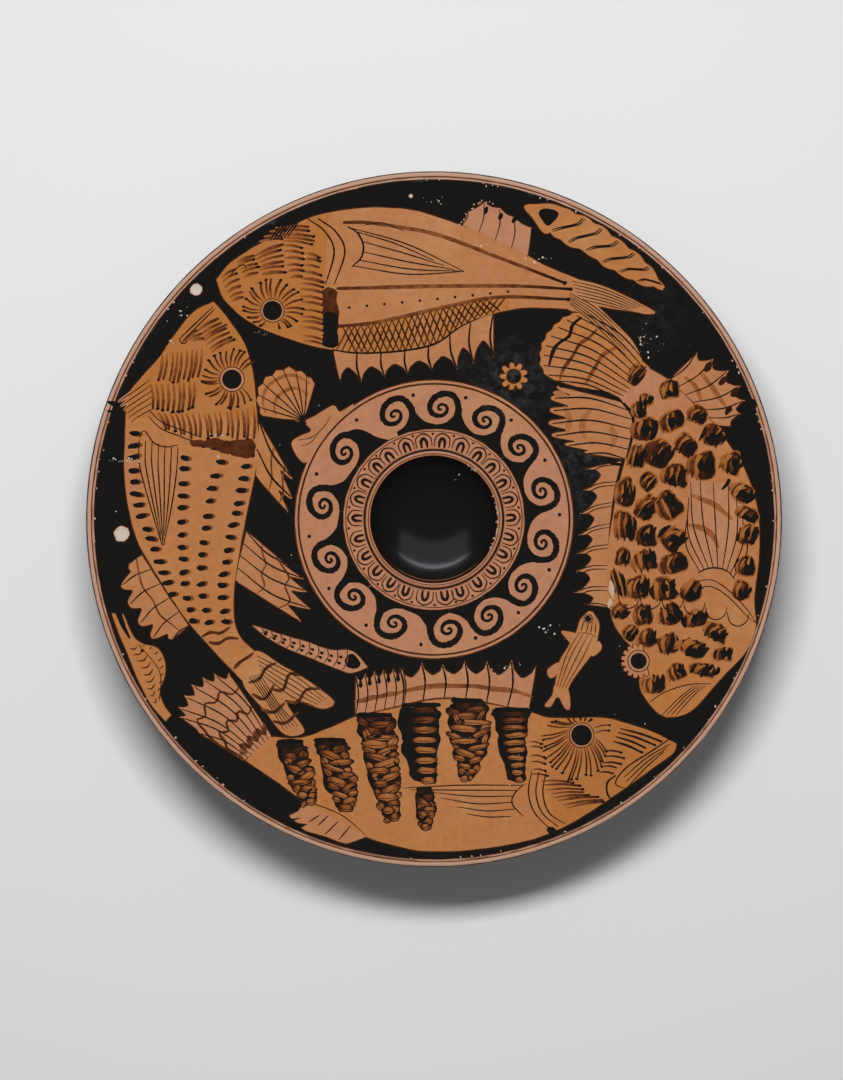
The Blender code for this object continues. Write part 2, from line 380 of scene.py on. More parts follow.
def eggBorder():
    b = ringBorder
    bandRing(b["eggOuter"] + 0.25, b["eggInner"], "ring", 0.6, 0.15, 0.35)
    bandRing(b["eggOuter"], b["eggInner"], "ring", 0.0, 0.15, 0.3)
    bandRing(b["eggLine"] + 0.22, b["eggLine"] - 0.2, "ringLine", 0.66, rough=0.15)
    for index in range(b["eggs"]):
        angle = 360.0 * (index + hand.uniform(-0.09, 0.09)) / b["eggs"]
        size = hand.uniform(0.92, 1.06)
        tilt = hand.uniform(-0.4, 0.4)

        def place(x, y):
            return polar(b["eggInner"] + y, angle - math.degrees((x + tilt * y / 6) / b["eggMiddle"]))

        for half, top, width, slip in ((1.35, 4.3, 1.3, 0.82), (3.65, 6.4, 0.6, 0.72)):
            arch = [place(half * size * x, top * y) for x, y in b["eggArch"]]
            brush(arch, width, (slip, slip + 0.08, slip), "ringLine", (0.7, 1, 1.15, 1, 0.7), step=0.7)
        dot(polar(b["eggInner"] + 6.1, angle + 180 / b["eggs"]), 0.58, 0.9, "ringLine")
    # the thrown groove, the ridge's brown line, the black of the well and a painted highlight line just
    # inside its brim
    ridge = s["wellRadius"] + s["ridgeWidth"]
    bandRing(ridge + 0.55, ridge - 0.45, "ringLine", 0.9, rough=0.07)
    bandRing(s["wellRadius"] + 1.35, s["wellRadius"] + 0.95, "ringLine", 0.6, rough=0.05)
    bandRing(s["wellRadius"] + 0.45, s["wellRadius"] - 0.1, "ringLine", 0.7, rough=0.1)
    turns = np.linspace(0, 2 * math.pi, 240, endpoint=False)
    brim = np.column_stack([np.cos(turns), np.sin(turns)]) * s["wellRadius"]
    lay(unsteady(brim, 0.07), "ringLine", 1.0)
    # a paler line painted just inside the brim on the near side only: a painted highlight on the brim's edge
    wearAndBrimHighlight = [polar(s["wellRadius"] - 0.75, a) for a in range(-150, -28, 6)]
    brush(wearAndBrimHighlight, 0.28, (0.9, 0.35, 0.3, 0.35, 0.9), "ringLine")


# The lip: bare clay between the black of the floor and the black of the hanging rim

lipBand = {
    "inner": 145.95, "outer": 148.75, "groove": 146.95, "grooveWidth": 0.55, "slip": 0.55,
    "runs": [(19.9, 1.0, 0.7, 143.0, 146.7), (160.2, 0.5, 0.2, 144.0, 148.6),
             (161.6, 0.25, 0.1, 145.2, 147.8)],
}


def paintedLip():
    b = lipBand
    bandRing(b["outer"] + 0.2, b["inner"] - 0.35, "halo", 0.72, 0.1, 0.3)
    bandRing(b["outer"], b["inner"], "lip", 0.0, 0.0, 0.22)
    painting[-1]["chip"] = 0.3
    # a brown line painted along the lip's groove all round: painted shade in the groove
    half = b["grooveWidth"] / 2
    bandRing(b["groove"] + half, b["groove"] - half, "lip", b["slip"], rough=0.12)
    # runs of black that slipped over the lip, to the right and to the left
    for angle, wide, narrow, start, end in b["runs"]:
        run = [polar(start, angle - wide), polar(end, angle - narrow), polar(end, angle + narrow),
               polar(start, angle + wide)]
        lay(unsteady(smooth(run, closed=True), 0.3, 2.5), "lip", 0.97)


# Sea bream, head to the left

seaBream = {
    "back": [(-93.5, 102.8), (-86.3, 110.8), (-71.5, 120.0), (-53.3, 129.3), (-35.6, 133.1), (-19.4, 133.6),
             (-4.1, 131.5), (27.8, 120.0), (47.5, 109.2), (62.0, 103.2)],
    "belly": [(-93.5, 102.8), (-89.5, 93.7), (-76.9, 83.6), (-57.3, 76.2), (-43.5, 73.1), (-31.7, 71.7),
              (-14.0, 72.7), (0.8, 75.9), (12.0, 83.4), (26.0, 88.8), (40.6, 91.2), (58.5, 90.5)],
    "tailUpper": [(51.4, 104.4), (59.3, 103.5), (70.6, 100.9), (81.8, 96.2), (94.7, 89.2), (91.7, 88.1),
                  (86.3, 89.2), (79.6, 90.1), (73.9, 91.0), (67.2, 92.6), (57.1, 93.7)],
    "tailLower": [(52.6, 98.2), (57.6, 90.6), (62.9, 88.8), (69.4, 83.6), (76.2, 77.8), (82.9, 70.7),
                  (88.0, 65.4), (89.5, 68.5), (86.3, 75.3), (80.7, 81.6), (74.5, 87.7), (70.6, 91.7),
                  (63.8, 99.4)],
    "bellyFinRoot": [(-43.5, 73.4), (-31.7, 72.2), (-14.0, 73.0), (0.8, 76.2), (12.0, 83.4), (25.5, 88.6)],
    "bellyFinTips": [(-40.4, 59.0), (-31.5, 59.3), (-21.4, 61.6), (-11.5, 63.0), (-1.0, 64.5), (10.0, 64.9),
                     (17.0, 67.4), (25.6, 69.6)],
    "backFinRoot": [(12.1, 126.3), (24.0, 121.2), (40.2, 113.0)],
    "backFinTips": [(15.0, 132.0), (21.6, 136.2), (28.3, 133.6), (34.4, 129.8), (41.8, 125.2)],
    "eye": (-69.5, 89.8), "headEnd": 0.335,
    "lines": [[(-41.5, 99.3), (-24.0, 99.8), (0.0, 100.4), (35.0, 100.4), (58.8, 99.0)],
              [(-38.6, 127.4), (-28.7, 127.4), (-14.0, 125.4), (2.6, 122.0), (27.8, 112.6), (56.3, 101.6)],
              [(-41.5, 83.1), (-23.8, 85.1), (2.6, 91.0), (27.8, 95.7), (57.8, 94.6)]],
    "pectoralRoot": [(-37.1, 125.6), (-33.0, 123.2), (-30.4, 118.0), (-31.2, 112.6), (-35.4, 108.6)],
    "pectoralTip": (13.0, 106.7),
}


def paintSeaBream():
    f = seaBream
    fin(f["bellyFinRoot"], f["bellyFinTips"], 0.5, 0.5, 0.5, (0.9, 0.92))
    fin(f["backFinRoot"], f["backFinTips"], 0.07, 0.6, 0.05, (0.5, 0.9))
    for spot, turn in zip([(22.4, 132.9), (28.7, 130.0), (34.6, 128.6)], (75, 70, 60)):
        lay(unsteady(oval(spot, (1.7, 1.0), turn, 0.15), 0.3, 2.0), "wash", 0.97)
    wearAndBrimHighlight = np.array([(11.5, 126.4), (14.3, 130.6), (17.9, 134.9), (21.3, 136.5), (25.6, 135.6)])
    for k in range(13):
        spot = sampled(wearAndBrimHighlight, k / 12)
        lay(oval(spot + polar(hand.uniform(0, 0.9), 130 + 90 * hand.random()), (hand.uniform(0.25, 0.6), 0.3),
                 hand.uniform(0, 180), 0.35, 7), "scar", 0.0, 0.0, hand.uniform(0.2, 0.6))
    for lobe in ("tailUpper", "tailLower"):
        reserve(smooth(f[lobe], closed=True), "fin", 0.6)
    fishBody(f, "back", "belly", (1.0, 1.0, 0.7, 0.5, 0.5, 0.6, 0.7), 12)
    eyeAt = np.array(f["eye"])
    guides = [
        ([(-54.5, 114.5), (-56.8, 106.1), (-57.4, 94.9), (-56.8, 85.9), (-56.3, 76.9)],
         [(-48.9, 113.1), (-48.4, 103.9), (-47.5, 94.9), (-47.5, 85.9), (-47.5, 75.5)], 15, 0.9),
        ([(-64.6, 117.6), (-63.8, 110.6), (-61.6, 103.9)],
         [(-56.1, 116.5), (-56.3, 109.5), (-56.3, 104.4)], 6, 0.9),
        ([(-76.8, 113.1), (-75.6, 109.5), (-74.0, 105.2)],
         [(-65.3, 117.8), (-64.9, 111.2), (-64.2, 106.1)], 6, 0.6),
        ([(-64.4, 125.2), (-64.9, 122.4), (-64.9, 119.4)],
         [(-53.4, 125.5), (-52.3, 121.9), (-51.6, 117.6)], 5, 0.5),
        ([(-91.2, 103.6), (-89.4, 98.8), (-86.9, 93.7)],
         [(-84.9, 107.5), (-83.3, 101.1), (-82.2, 95.4)], 6, 0.5),
        ([(-84.4, 110.6), (-83.3, 107.8), (-81.7, 103.9)],
         [(-77.2, 113.5), (-76.5, 110.4), (-75.2, 106.1)], 5, 0.4),
        ([(-75.1, 119.0), (-71.7, 122.4), (-67.8, 125.2)],
         [(-65.5, 120.2), (-64.9, 122.4), (-64.4, 124.1)], 4, 0.4)]
    for first, last, count, dots in guides:
        combed(first, last, count, 1.3, 0.46, dots)
    reach = ((-68, 8.0), (-35, 11.0), (0, 13.2), (35, 13.2), (70, 13.2), (105, 13.2), (140, 13.2),
             (175, 12.4), (205, 10.2), (232, 8.2))
    combed(around(eyeAt, 5.5, -65, 235), [eyeAt + polar(r, a) for a, r in reach], 22, 1.0, 0.56, 0.95)
    eye(eyeAt)
    # the gill's ragged band: brown above, black below
    band = [(-45.5, 99.9), (-41.9, 98.5), (-41.7, 93.7), (-41.0, 87.0), (-41.5, 80.2), (-41.2, 75.1),
            (-44.4, 74.2), (-48.0, 75.3), (-47.5, 80.2), (-47.8, 87.0), (-48.0, 93.7), (-47.3, 98.5)]
    lay(unsteady(smooth(band, closed=True), 0.6, 2.0), "line", 0.68)
    band = [(-47.5, 87.9), (-44.4, 89.2), (-41.2, 87.0), (-41.5, 80.2), (-41.2, 75.1), (-44.4, 74.2),
            (-48.0, 75.3), (-47.5, 80.2)]
    lay(unsteady(smooth(band, closed=True), 0.7, 2.0), "line", 0.98)
    combed([(-48.0, 98.2), (-48.0, 87.0), (-48.2, 76.9)], [(-44.4, 98.7), (-44.2, 87.0), (-44.2, 76.9)], 9,
           1.3, 0.7, 0.0)
    for shift in (0.0, 4.6):
        brush([(-54.3 + shift, 129.0), (-46.9 + shift, 123.6), (-42.9 + shift, 115.0),
               (-46.6 + shift * 0.8, 101.0)], 0.8, 0.85)
    for k in range(6):
        brush([(-70.4 + 1.5 * k, 119.6 + 0.3 * k), (-64.6 + 1.7 * k, 128.0 + 0.5 * k)], 0.75, 0.95)
    brush([(-88.0, 104.0), (-84.5, 108.0), (-81.6, 109.2), (-80.7, 107.4), (-82.2, 106.0)], 0.5, 0.9)
    # body: three long lines, dots between, and a lattice above the belly fin
    for line in f["lines"]:
        brush(line, 1.7, (0.66, 0.52, 0.48, 0.52, 0.58, 0.88), "brown", (0.8, 1, 1, 0.9, 0.7))
        dot(line[-1], 0.95, 0.93)
    for k in range(10):
        x = -36.5 + 7.6 * k
        dot((x, 91.2 + 0.1 * (x + 36.5)), 0.66, 0.78)
    above, below = smooth(f["lines"][2]), smooth(f["belly"])
    edge = [p for p in above if -42.0 < p[0] < 33.0] + [p for p in below[::-1] if -42.0 < p[0] < 33.0]
    lay(edge, "wash", 0.08, 0.95)
    for k in range(27):
        for lean, tone in ((5.2, 0.64), (-5.6, 0.74)):
            x = -42.0 + 2.7 * k + hand.uniform(-0.3, 0.3)
            if not -41 < x + lean < 33:
                continue
            topY = np.interp(x + lean, above[:, 0], above[:, 1])
            lowY = np.interp(x, below[:, 0][20:], below[:, 1][20:])
            if topY - lowY > 2.4:
                brush([(x, lowY + 0.5), (x + lean, topY - 0.4)], 0.8, tone, "brown")
    brush([p for p in below[::4] if p[0] > -44 and p[0] < 22], 0.95, 0.88)
    # breast fin: an arc with rays that draw together towards the tail
    root, tip = smooth(f["pectoralRoot"]), np.array(f["pectoralTip"])
    brush(f["pectoralRoot"], 0.85, 0.92)
    for share, far in ((0.03, 1.0), (0.2, 0.72), (0.42, 0.8), (0.62, 0.9), (0.8, 0.97), (0.97, 1.0)):
        start = sampled(root, share)
        bow = mix(start, tip, 0.5) + np.array((0, 5.0 * (0.5 - share)))
        brush([start, mix(start, bow, far), mix(start, tip, far)], 0.6, (0.82, 0.9, 0.8))
    brush([(-29.6, 126.4), (-22.0, 127.3), (-13.0, 124.0)], 0.5, 0.85)
    # tail: fine rays that open from the last of the body
    for k in range(6):
        brush([(59.5 + 0.6 * k, 102.4 - 1.5 * k), (74.0, 98.6 - 1.3 * k),
               (90.0 - 1.4 * k, 91.4 - 0.3 * k)], 0.45, 0.85)
        brush([(58.5, 97.2 - 0.9 * k), (69.5, 91.0 - 1.5 * k), (80.6 + 0.4 * k, 81.0 - 2.1 * k)], 0.45, 0.85)


# Grey mullet, head up, on the left

mullet = {
    "outer": [(-94.6, 93.4), (-102.5, 89.5), (-110.0, 81.0), (-118.0, 69.4), (-126.0, 60.4), (-131.5, 52.0),
              (-132.5, 36.0), (-132.9, 20.0), (-131.0, 3.9), (-127.0, -10.0), (-119.0, -24.2),
              (-107.0, -42.4), (-94.0, -57.4), (-81.5, -70.5)],
    "inner": [(-94.6, 93.4), (-87.8, 85.1), (-81.4, 75.0), (-77.9, 62.0), (-76.4, 46.0), (-75.9, 32.0),
              (-77.2, 20.0), (-80.4, 5.0), (-83.6, -12.0), (-86.0, -28.0), (-86.2, -42.6), (-83.2, -51.2),
              (-76.5, -57.6)],
    "tail": [(-77.5, -56.8), (-65.8, -62.8), (-54.6, -69.4), (-44.2, -77.2), (-43.6, -80.2), (-48.6, -81.5),
             (-57.0, -78.8), (-63.4, -78.8), (-60.5, -84.0), (-56.0, -90.2), (-57.5, -92.6), (-64.7, -92.2),
             (-72.8, -82.4), (-82.2, -70.0)],
    "eye": (-87.0, 60.3), "headEnd": 0.335,
    "spots": [
        [(-128.4, 36.8), (-129.2, 24.9), (-127.1, 6.6), (-121.1, -10.0), (-116.1, -23.9), (-112.5, -32.7)],
        [(-107.3, 26.7), (-108.1, 10.8), (-108.7, -3.3), (-108.0, -19.4), (-106.9, -31.0), (-103.5, -44.2)],
        [(-91.8, 24.6), (-95.4, 14.7), (-97.8, -0.4), (-99.9, -14.9), (-100.1, -30.3), (-96.9, -44.5)],
        [(-81.2, 22.8), (-83.7, 9.5), (-87.3, -4.6), (-89.6, -18.1), (-91.5, -30.3), (-89.6, -44.5)],
    ],
    "finUpper": ([(-75.4, 42.0), (-76.4, 30.0), (-76.8, 18.6)], [(-61.2, 17.4), (-61.4, 8.9), (-63.0, 2.9)]),
    "finLower": ([(-80.9, -5.2), (-83.6, -16.0), (-85.6, -26.4)],
                 [(-63.5, -20.0), (-56.2, -26.0), (-54.8, -31.5), (-53.4, -38.9), (-57.2, -44.4)]),
    "finOuter": ([(-125.6, -15.4), (-117.0, -29.0), (-105.6, -45.8)],
                 [(-130.6, -19.0), (-134.3, -28.6), (-131.0, -36.7), (-126.5, -45.0), (-121.0, -51.2),
                  (-112.6, -51.6)]),
}


def paintMullet():
    f = mullet
    brown = (0.42, 0.06, 0.5, 0.9)
    fin(*f["finUpper"], 0.4, 1.4, 0.7, (0.9, 0.92), [(0.42, 0.05, 0.45, 1.0), (0.75, 0.05, 0.5, 1.0)])
    fin(*f["finLower"], 0.28, 1.0, 0.5, (0.7, 0.9), [(0.35, 0.06, 0.45, 0.9), (0.7, 0.08, 0.55, 0.9)])
    fin(*f["finOuter"], 0.26, 0, 0.6, (0.6, 0.9), [brown])
    reserve(smooth(f["tail"], closed=True), "fin", 0.65)
    fishBody(f, "outer", "inner", (1.0, 1.0, 0.9, 0.7, 0.75, 0.8, 0.85, 0.8))
    eyeAt = np.array(f["eye"])
    guides = [
        ([(-116.6, 70.2), (-108.9, 72.0), (-99.6, 73.0)],
         [(-118.4, 59.7), (-110.1, 59.1), (-101.4, 60.7)], 9, 0.3),
        ([(-102.7, 80.2), (-98.6, 76.1), (-95.7, 71.9)],
         [(-92.4, 86.4), (-88.5, 81.8), (-86.0, 77.0)], 7, 0.5),
        ([(-108.6, 75.3), (-106.3, 76.4), (-103.7, 76.6)],
         [(-102.4, 81.5), (-100.4, 80.2), (-98.6, 77.7)], 3, 0.3),
        ([(-121.5, 57.9), (-112.7, 58.1), (-102.7, 58.9)],
         [(-120.7, 46.8), (-111.9, 45.8), (-103.5, 47.1)], 9, 0.7),
        ([(-118.4, 45.8), (-103.7, 45.3), (-89.6, 46.3), (-77.7, 47.8)],
         [(-115.8, 38.8), (-103.5, 35.0), (-90.9, 35.7), (-77.7, 33.9)], 18, 0.3)]
    for first, last, count, dots in guides:
        combed(first, last, count, 1.35, 0.46, dots)
    combed(around(eyeAt, 5.7, 42, 318), around(eyeAt, 12.6, 36, 312), 22, 1.0, 0.58, 0.8)
    eye(eyeAt, 5.2, 3.9)
    for k in (0, 1):
        brush([(-109.4 + 1.5 * k, 77.4 - 0.9 * k), (-102.0 + k, 84.6 - k), (-95.0 + 0.6 * k, 91.2 - k)], 0.65,
              0.92)
    brush([(-109.2, 77.6), (-108.8, 75.8), (-106.6, 75.6), (-106.4, 77.0)], 0.6, 0.92)
    # the fringe at the gill, lapping over to the lip
    for k in range(6):
        start, end = (-121.8 + 0.2 * k, 60.0 - 2.5 * k), (-136.0 + 1.2 * k, 50.0 - 1.7 * k)
        lay(unsteady(grown(smooth([start, (-128, 56.6 - 2.4 * k), end, (-127.5, 54.2 - 2.3 * k)], True),
                           0.2)), "fin", 0.0, 0.4)
        brush([start, (-128.0, 55.4 - 2.4 * k), end], 0.45, 0.8)
    for shift in (0.0, 3.0):
        brush([(-122.6, 47.0 - shift), (-117.0, 41.8 - shift), (-109.0, 38.6 - shift),
               (-100.6, 35.4 - shift)], 0.55, 0.85)
    band = [(-105.6, 34.2), (-99.9, 33.9), (-94.7, 35.0), (-87.0, 33.9), (-78.0, 34.2), (-77.7, 27.8),
            (-83.1, 26.7), (-89.6, 28.5), (-97.3, 30.9), (-103.7, 31.6)]
    lay(unsteady(smooth(band, closed=True), 0.7, 2.0), "line", 0.66)
    combed([(-104.7, 33.9), (-97.3, 33.9), (-87.0, 33.9), (-78.3, 34.2)],
           [(-103.7, 31.9), (-96.6, 30.9), (-87.0, 28.2), (-78.3, 27.3)], 13, 2.0, 0.8, 0.0, 0.2)
    combed([(-102.4, 32.4), (-89.6, 31.1), (-78.3, 28.8)], [(-98.6, 31.4), (-87.0, 28.3), (-78.0, 27.3)], 5,
           2.2, 0.76, 0.0)
    combed([(-87.6, 33.6), (-78.4, 34.0)], [(-86.6, 28.6), (-78.0, 27.6)], 5, 1.1, 0.9, 0.0, 0.2)
    combed([(-105.0, 34.0), (-90.0, 33.8)], [(-103.6, 32.0), (-90.0, 29.4)], 8, 0.8, 0.5, 0.0, 0.2)
    # breast fin: long lines that come to a point
    left = smooth([(-126.6, 35.0), (-126.9, 26.2), (-124.8, 15.9), (-121.2, 3.1), (-116.6, -12.6)])
    right = smooth([(-110.1, 32.0), (-110.7, 21.1), (-112.5, 8.2), (-114.5, -2.6), (-116.6, -12.6)])
    for k in range(7):
        down = np.linspace(0.02, 0.97 - 0.05 * (k % 3), 6)
        line = [mix(sampled(left, u), sampled(right, u), k / 6) for u in down]
        brush(line, 0.6, (0.75, 0.85, 0.9))
    brush([(-126.6, 35.0), (-124.5, 38.1), (-120.4, 32.9), (-115.3, 31.1), (-110.1, 32.0)], 0.6, 0.88)
    # rows of dark touches down the body
    for column, count, reach in zip(f["spots"], (15, 14, 13, 14), (2.75, 2.2, 2.2, 2.3)):
        line = smooth(column)
        for k in range(count):
            spot = sampled(line, (k + hand.uniform(-0.12, 0.12)) / (count - 1))
            turn, size = hand.uniform(-12, 12), reach * hand.uniform(0.85, 1.1) * (1 - 0.15 * k / count)
            tail = spot + polar(1.1, turn)
            lay(unsteady(oval(tail, (size, 1.25), turn), 0.2, 2.0), "brown", 0.5)
            lay(oval(spot, (size, 1.22), turn, 0.14), "line", (0.9, 0.97, 0.97))
    # waved bands across the tail and fine rays in its lobes
    for line in ([(-99.6, -50.4), (-96.0, -48.6), (-92.1, -49.1), (-88.0, -46.5)],
                 [(-96.6, -53.0), (-92.8, -53.5), (-88.9, -51.2), (-84.4, -51.4)],
                 [(-86.0, -64.2), (-83.4, -61.4), (-79.8, -59.2), (-78.0, -57.6)],
                 [(-79.5, -70.2), (-75.4, -68.9), (-72.3, -64.0), (-68.2, -62.0)],
                 [(-70.0, -73.0), (-65.1, -73.5), (-62.3, -66.6), (-57.7, -67.4)],
                 [(-63.9, -78.2), (-58.7, -78.7), (-55.1, -73.5), (-48.9, -73.0)],
                 [(-78.0, -75.3), (-72.9, -77.4), (-69.0, -71.5)],
                 [(-74.1, -81.8), (-69.0, -83.1), (-64.4, -79.2)],
                 [(-69.0, -86.9), (-63.9, -87.7), (-58.7, -83.1)]):
        brush(line, 1.5, (0.6, 0.72, 0.6), "brown", (0.7, 1.1, 0.8, 1, 0.6))
    for k in range(5):
        brush([(-76.0 + 0.4 * k, -59.0 - 1.9 * k), (-60.0 - 0.2 * k, -67.4 - 2.3 * k),
               (-46.6 - 1.2 * k, -77.6 - 0.7 * k)], 0.45, 0.88)
        brush([(-79.5 + 1.1 * k, -68.0 + 0.4 * k), (-71.5 + 1.2 * k, -79.0 - 0.2 * k),
               (-64.5 + 1.5 * k, -90.6 + 0.4 * k)], 0.45, 0.88)


# Wrasse, head down, on the right

wrasse = {
    "outer": [(91.3, 65.6), (101.1, 59.6), (112.4, 48.9), (120.3, 40.9), (129.4, 28.0), (134.8, 18.0),
              (138.6, 5.0), (139.6, -7.0), (139.0, -20.0), (137.4, -34.0), (137.9, -47.0), (133.4, -57.2),
              (123.2, -68.2), (112.2, -80.6), (105.5, -84.4), (99.9, -85.0)],
    "inner": [(79.9, 52.8), (84.5, 45.4), (84.8, 37.0), (82.6, 26.0), (79.5, 14.0), (77.0, 0.0),
              (75.0, -13.0), (74.7, -28.0), (76.8, -42.6), (81.2, -50.7), (85.6, -55.9), (88.2, -64.0),
              (88.6, -72.4), (91.2, -77.2), (95.4, -82.6), (99.9, -85.0)],
    "tailRoot": [(80.4, 51.6), (86.4, 58.2), (93.0, 65.2)],
    "tailTips": [(51.9, 60.2), (47.6, 62.8), (45.6, 67.0), (45.6, 71.6), (46.4, 75.8), (48.6, 80.0),
                 (51.8, 83.8), (55.6, 87.0), (60.0, 88.8), (64.2, 89.6)],
    "finRoot": [(80.4, 50.6), (84.6, 44.6), (84.8, 36.0), (82.6, 26.0)],
    "finTips": [(53.2, 57.4), (50.6, 52.6), (50.2, 47.2), (49.6, 41.6), (51.0, 36.2), (57.0, 32.0),
                (66.0, 28.6)],
    "spineRoot": [(80.7, 25.1), (78.0, 14.1), (75.9, -1.9), (74.9, -16.6), (74.9, -28.9), (76.8, -38.0)],
    "spineTips": [(65.7, 21.7), (64.5, 12.6), (63.0, 2.4), (62.5, -6.8), (62.0, -14.8), (61.5, -22.2),
                  (60.3, -31.6), (64.5, -36.5)],
    "backRoot": [(101.4, 60.0), (112.4, 49.4), (121.4, 40.4)],
    "backTips": [(113.1, 71.6), (120.0, 68.9), (126.4, 63.7), (131.6, 57.1), (133.5, 50.9), (131.6, 45.3),
                 (127.2, 39.9)],
    "eye": (88.1, -61.0),
    # every blotch: its middle, its width and its height
    "blotches": [
        (87.3, 62.4, 6, 10), (101.1, 55.5, 8, 9), (91.2, 51.6, 6, 5), (88.3, 47.2, 6, 8), (112.9, 44.7, 8, 8),
        (102.1, 41.8, 11, 9), (90.8, 38.5, 10, 10), (119.8, 35.9, 10, 10), (108.0, 32.0, 9, 10),
        (96.7, 29.0, 11, 13), (87.3, 27.0, 7, 12), (114.9, 23.1, 11, 12), (127.2, 24.1, 9, 10),
        (103.1, 18.6, 10, 10), (92.4, 16.5, 7, 8), (82.3, 11.4, 8, 12), (91.4, 5.0, 8, 12),
        (101.0, 5.8, 10, 12), (132.1, 11.3, 10, 8), (134.3, 1.9, 9, 6), (81.8, -3.0, 9, 14),
        (90.6, -7.0, 10, 10), (102.4, -8.0, 10, 11), (134.3, -6.6, 8, 11), (81.4, -16.6, 6, 8),
        (90.7, -18.0, 10, 10), (103.0, -19.4, 11, 10), (133.4, -20.3, 8, 9), (79.6, -27.6, 5, 13),
        (88.2, -29.4, 9, 11), (98.8, -30.0, 11, 10), (110.6, -30.4, 8, 10), (131.9, -30.4, 7, 8),
        (80.1, -39.6, 7, 8), (89.8, -41.0, 8, 9), (101.0, -41.2, 10, 9), (112.0, -42.8, 10, 7),
        (121.2, -48.6, 10, 8), (84.4, -48.6, 6, 7), (92.0, -51.0, 8, 8), (100.4, -53.6, 8, 9),
        (110.9, -55.4, 13, 8), (124.0, -58.0, 8, 6), (104.0, -65.8, 8, 7), (115.6, -64.8, 11, 6),
        (94.3, -70.9, 9, 8)],
}


def blotch(x, y, width, height):
    # a few short strokes side by side, gold where the brush was nearly dry, brown and black where it was full
    lean = hand.uniform(-35, 35)
    spot, half = np.array((x, y)), np.array((width, height)) * 0.5

    def local(across, up):
        return spot + polar(across * half[0], lean) + polar(up * half[1], lean + 90)

    corners = ((-0.8, -0.6), (0.1, -0.85), (0.85, -0.75), (0.95, 0.2), (0.6, 0.85),
               (-0.4, 0.85), (-0.9, 0.35))
    edge = smooth([local(a + hand.uniform(-0.2, 0.2), b + hand.uniform(-0.2, 0.2)) for a, b in corners],
                  closed=True)
    lay(grown(unsteady(edge, 0.6, 1.7), 0.6), "wash", 0.34, 1.0)
    lay(unsteady(edge, 0.7, 1.5), "brown", (0.62, 0.72, 0.9),
        along=np.linspace(local(-0.9, 0.4), local(0.9, -0.3), 9))
    tones = [0.3, 0.62, 0.24, 0.84, 0.5, 1.0, 0.94]
    if hand.random() < 0.4:
        tones = [0.86, 0.3, 0.55, 0.97, 0.26, 1.0, 0.9]
    for k, tone in enumerate(tones):
        across = -0.88 + 1.78 * k / 6 + hand.uniform(-0.1, 0.1)
        tall = 1.0 - 0.35 * across * across
        top, low = tall * hand.uniform(0.55, 1.08), tall * hand.uniform(-1.08, -0.45)
        bend = across + hand.uniform(-0.22, 0.22)
        tone = min(1.0, max(0.18, tone + hand.uniform(-0.1, 0.1)))
        brush([local(across + 0.15, top), local(bend, 0.1), local(across - 0.12, low)],
              half[0] * hand.uniform(0.26, 0.44), (tone, tone, min(tone + 0.2, 1.0)), "line",
              (0.5, 1.1, 1.0, 0.4), step=0.8)
    pool = oval(local(hand.uniform(-0.1, 0.5), hand.uniform(-0.5, 0.2)),
                half * (0.36, 0.46) * hand.uniform(0.8, 1.15), lean, 0.3, 11)
    lay(unsteady(pool, 0.8, 1.5), "line", 1.0)
    if hand.random() < 0.6:
        brush([local(0.1, 0.7), local(-0.35, 0.25), local(-0.5, -0.3)], half[0] * 0.24, (0.3, 0.22, 0.4),
              "line", (0.5, 1, 0.5))


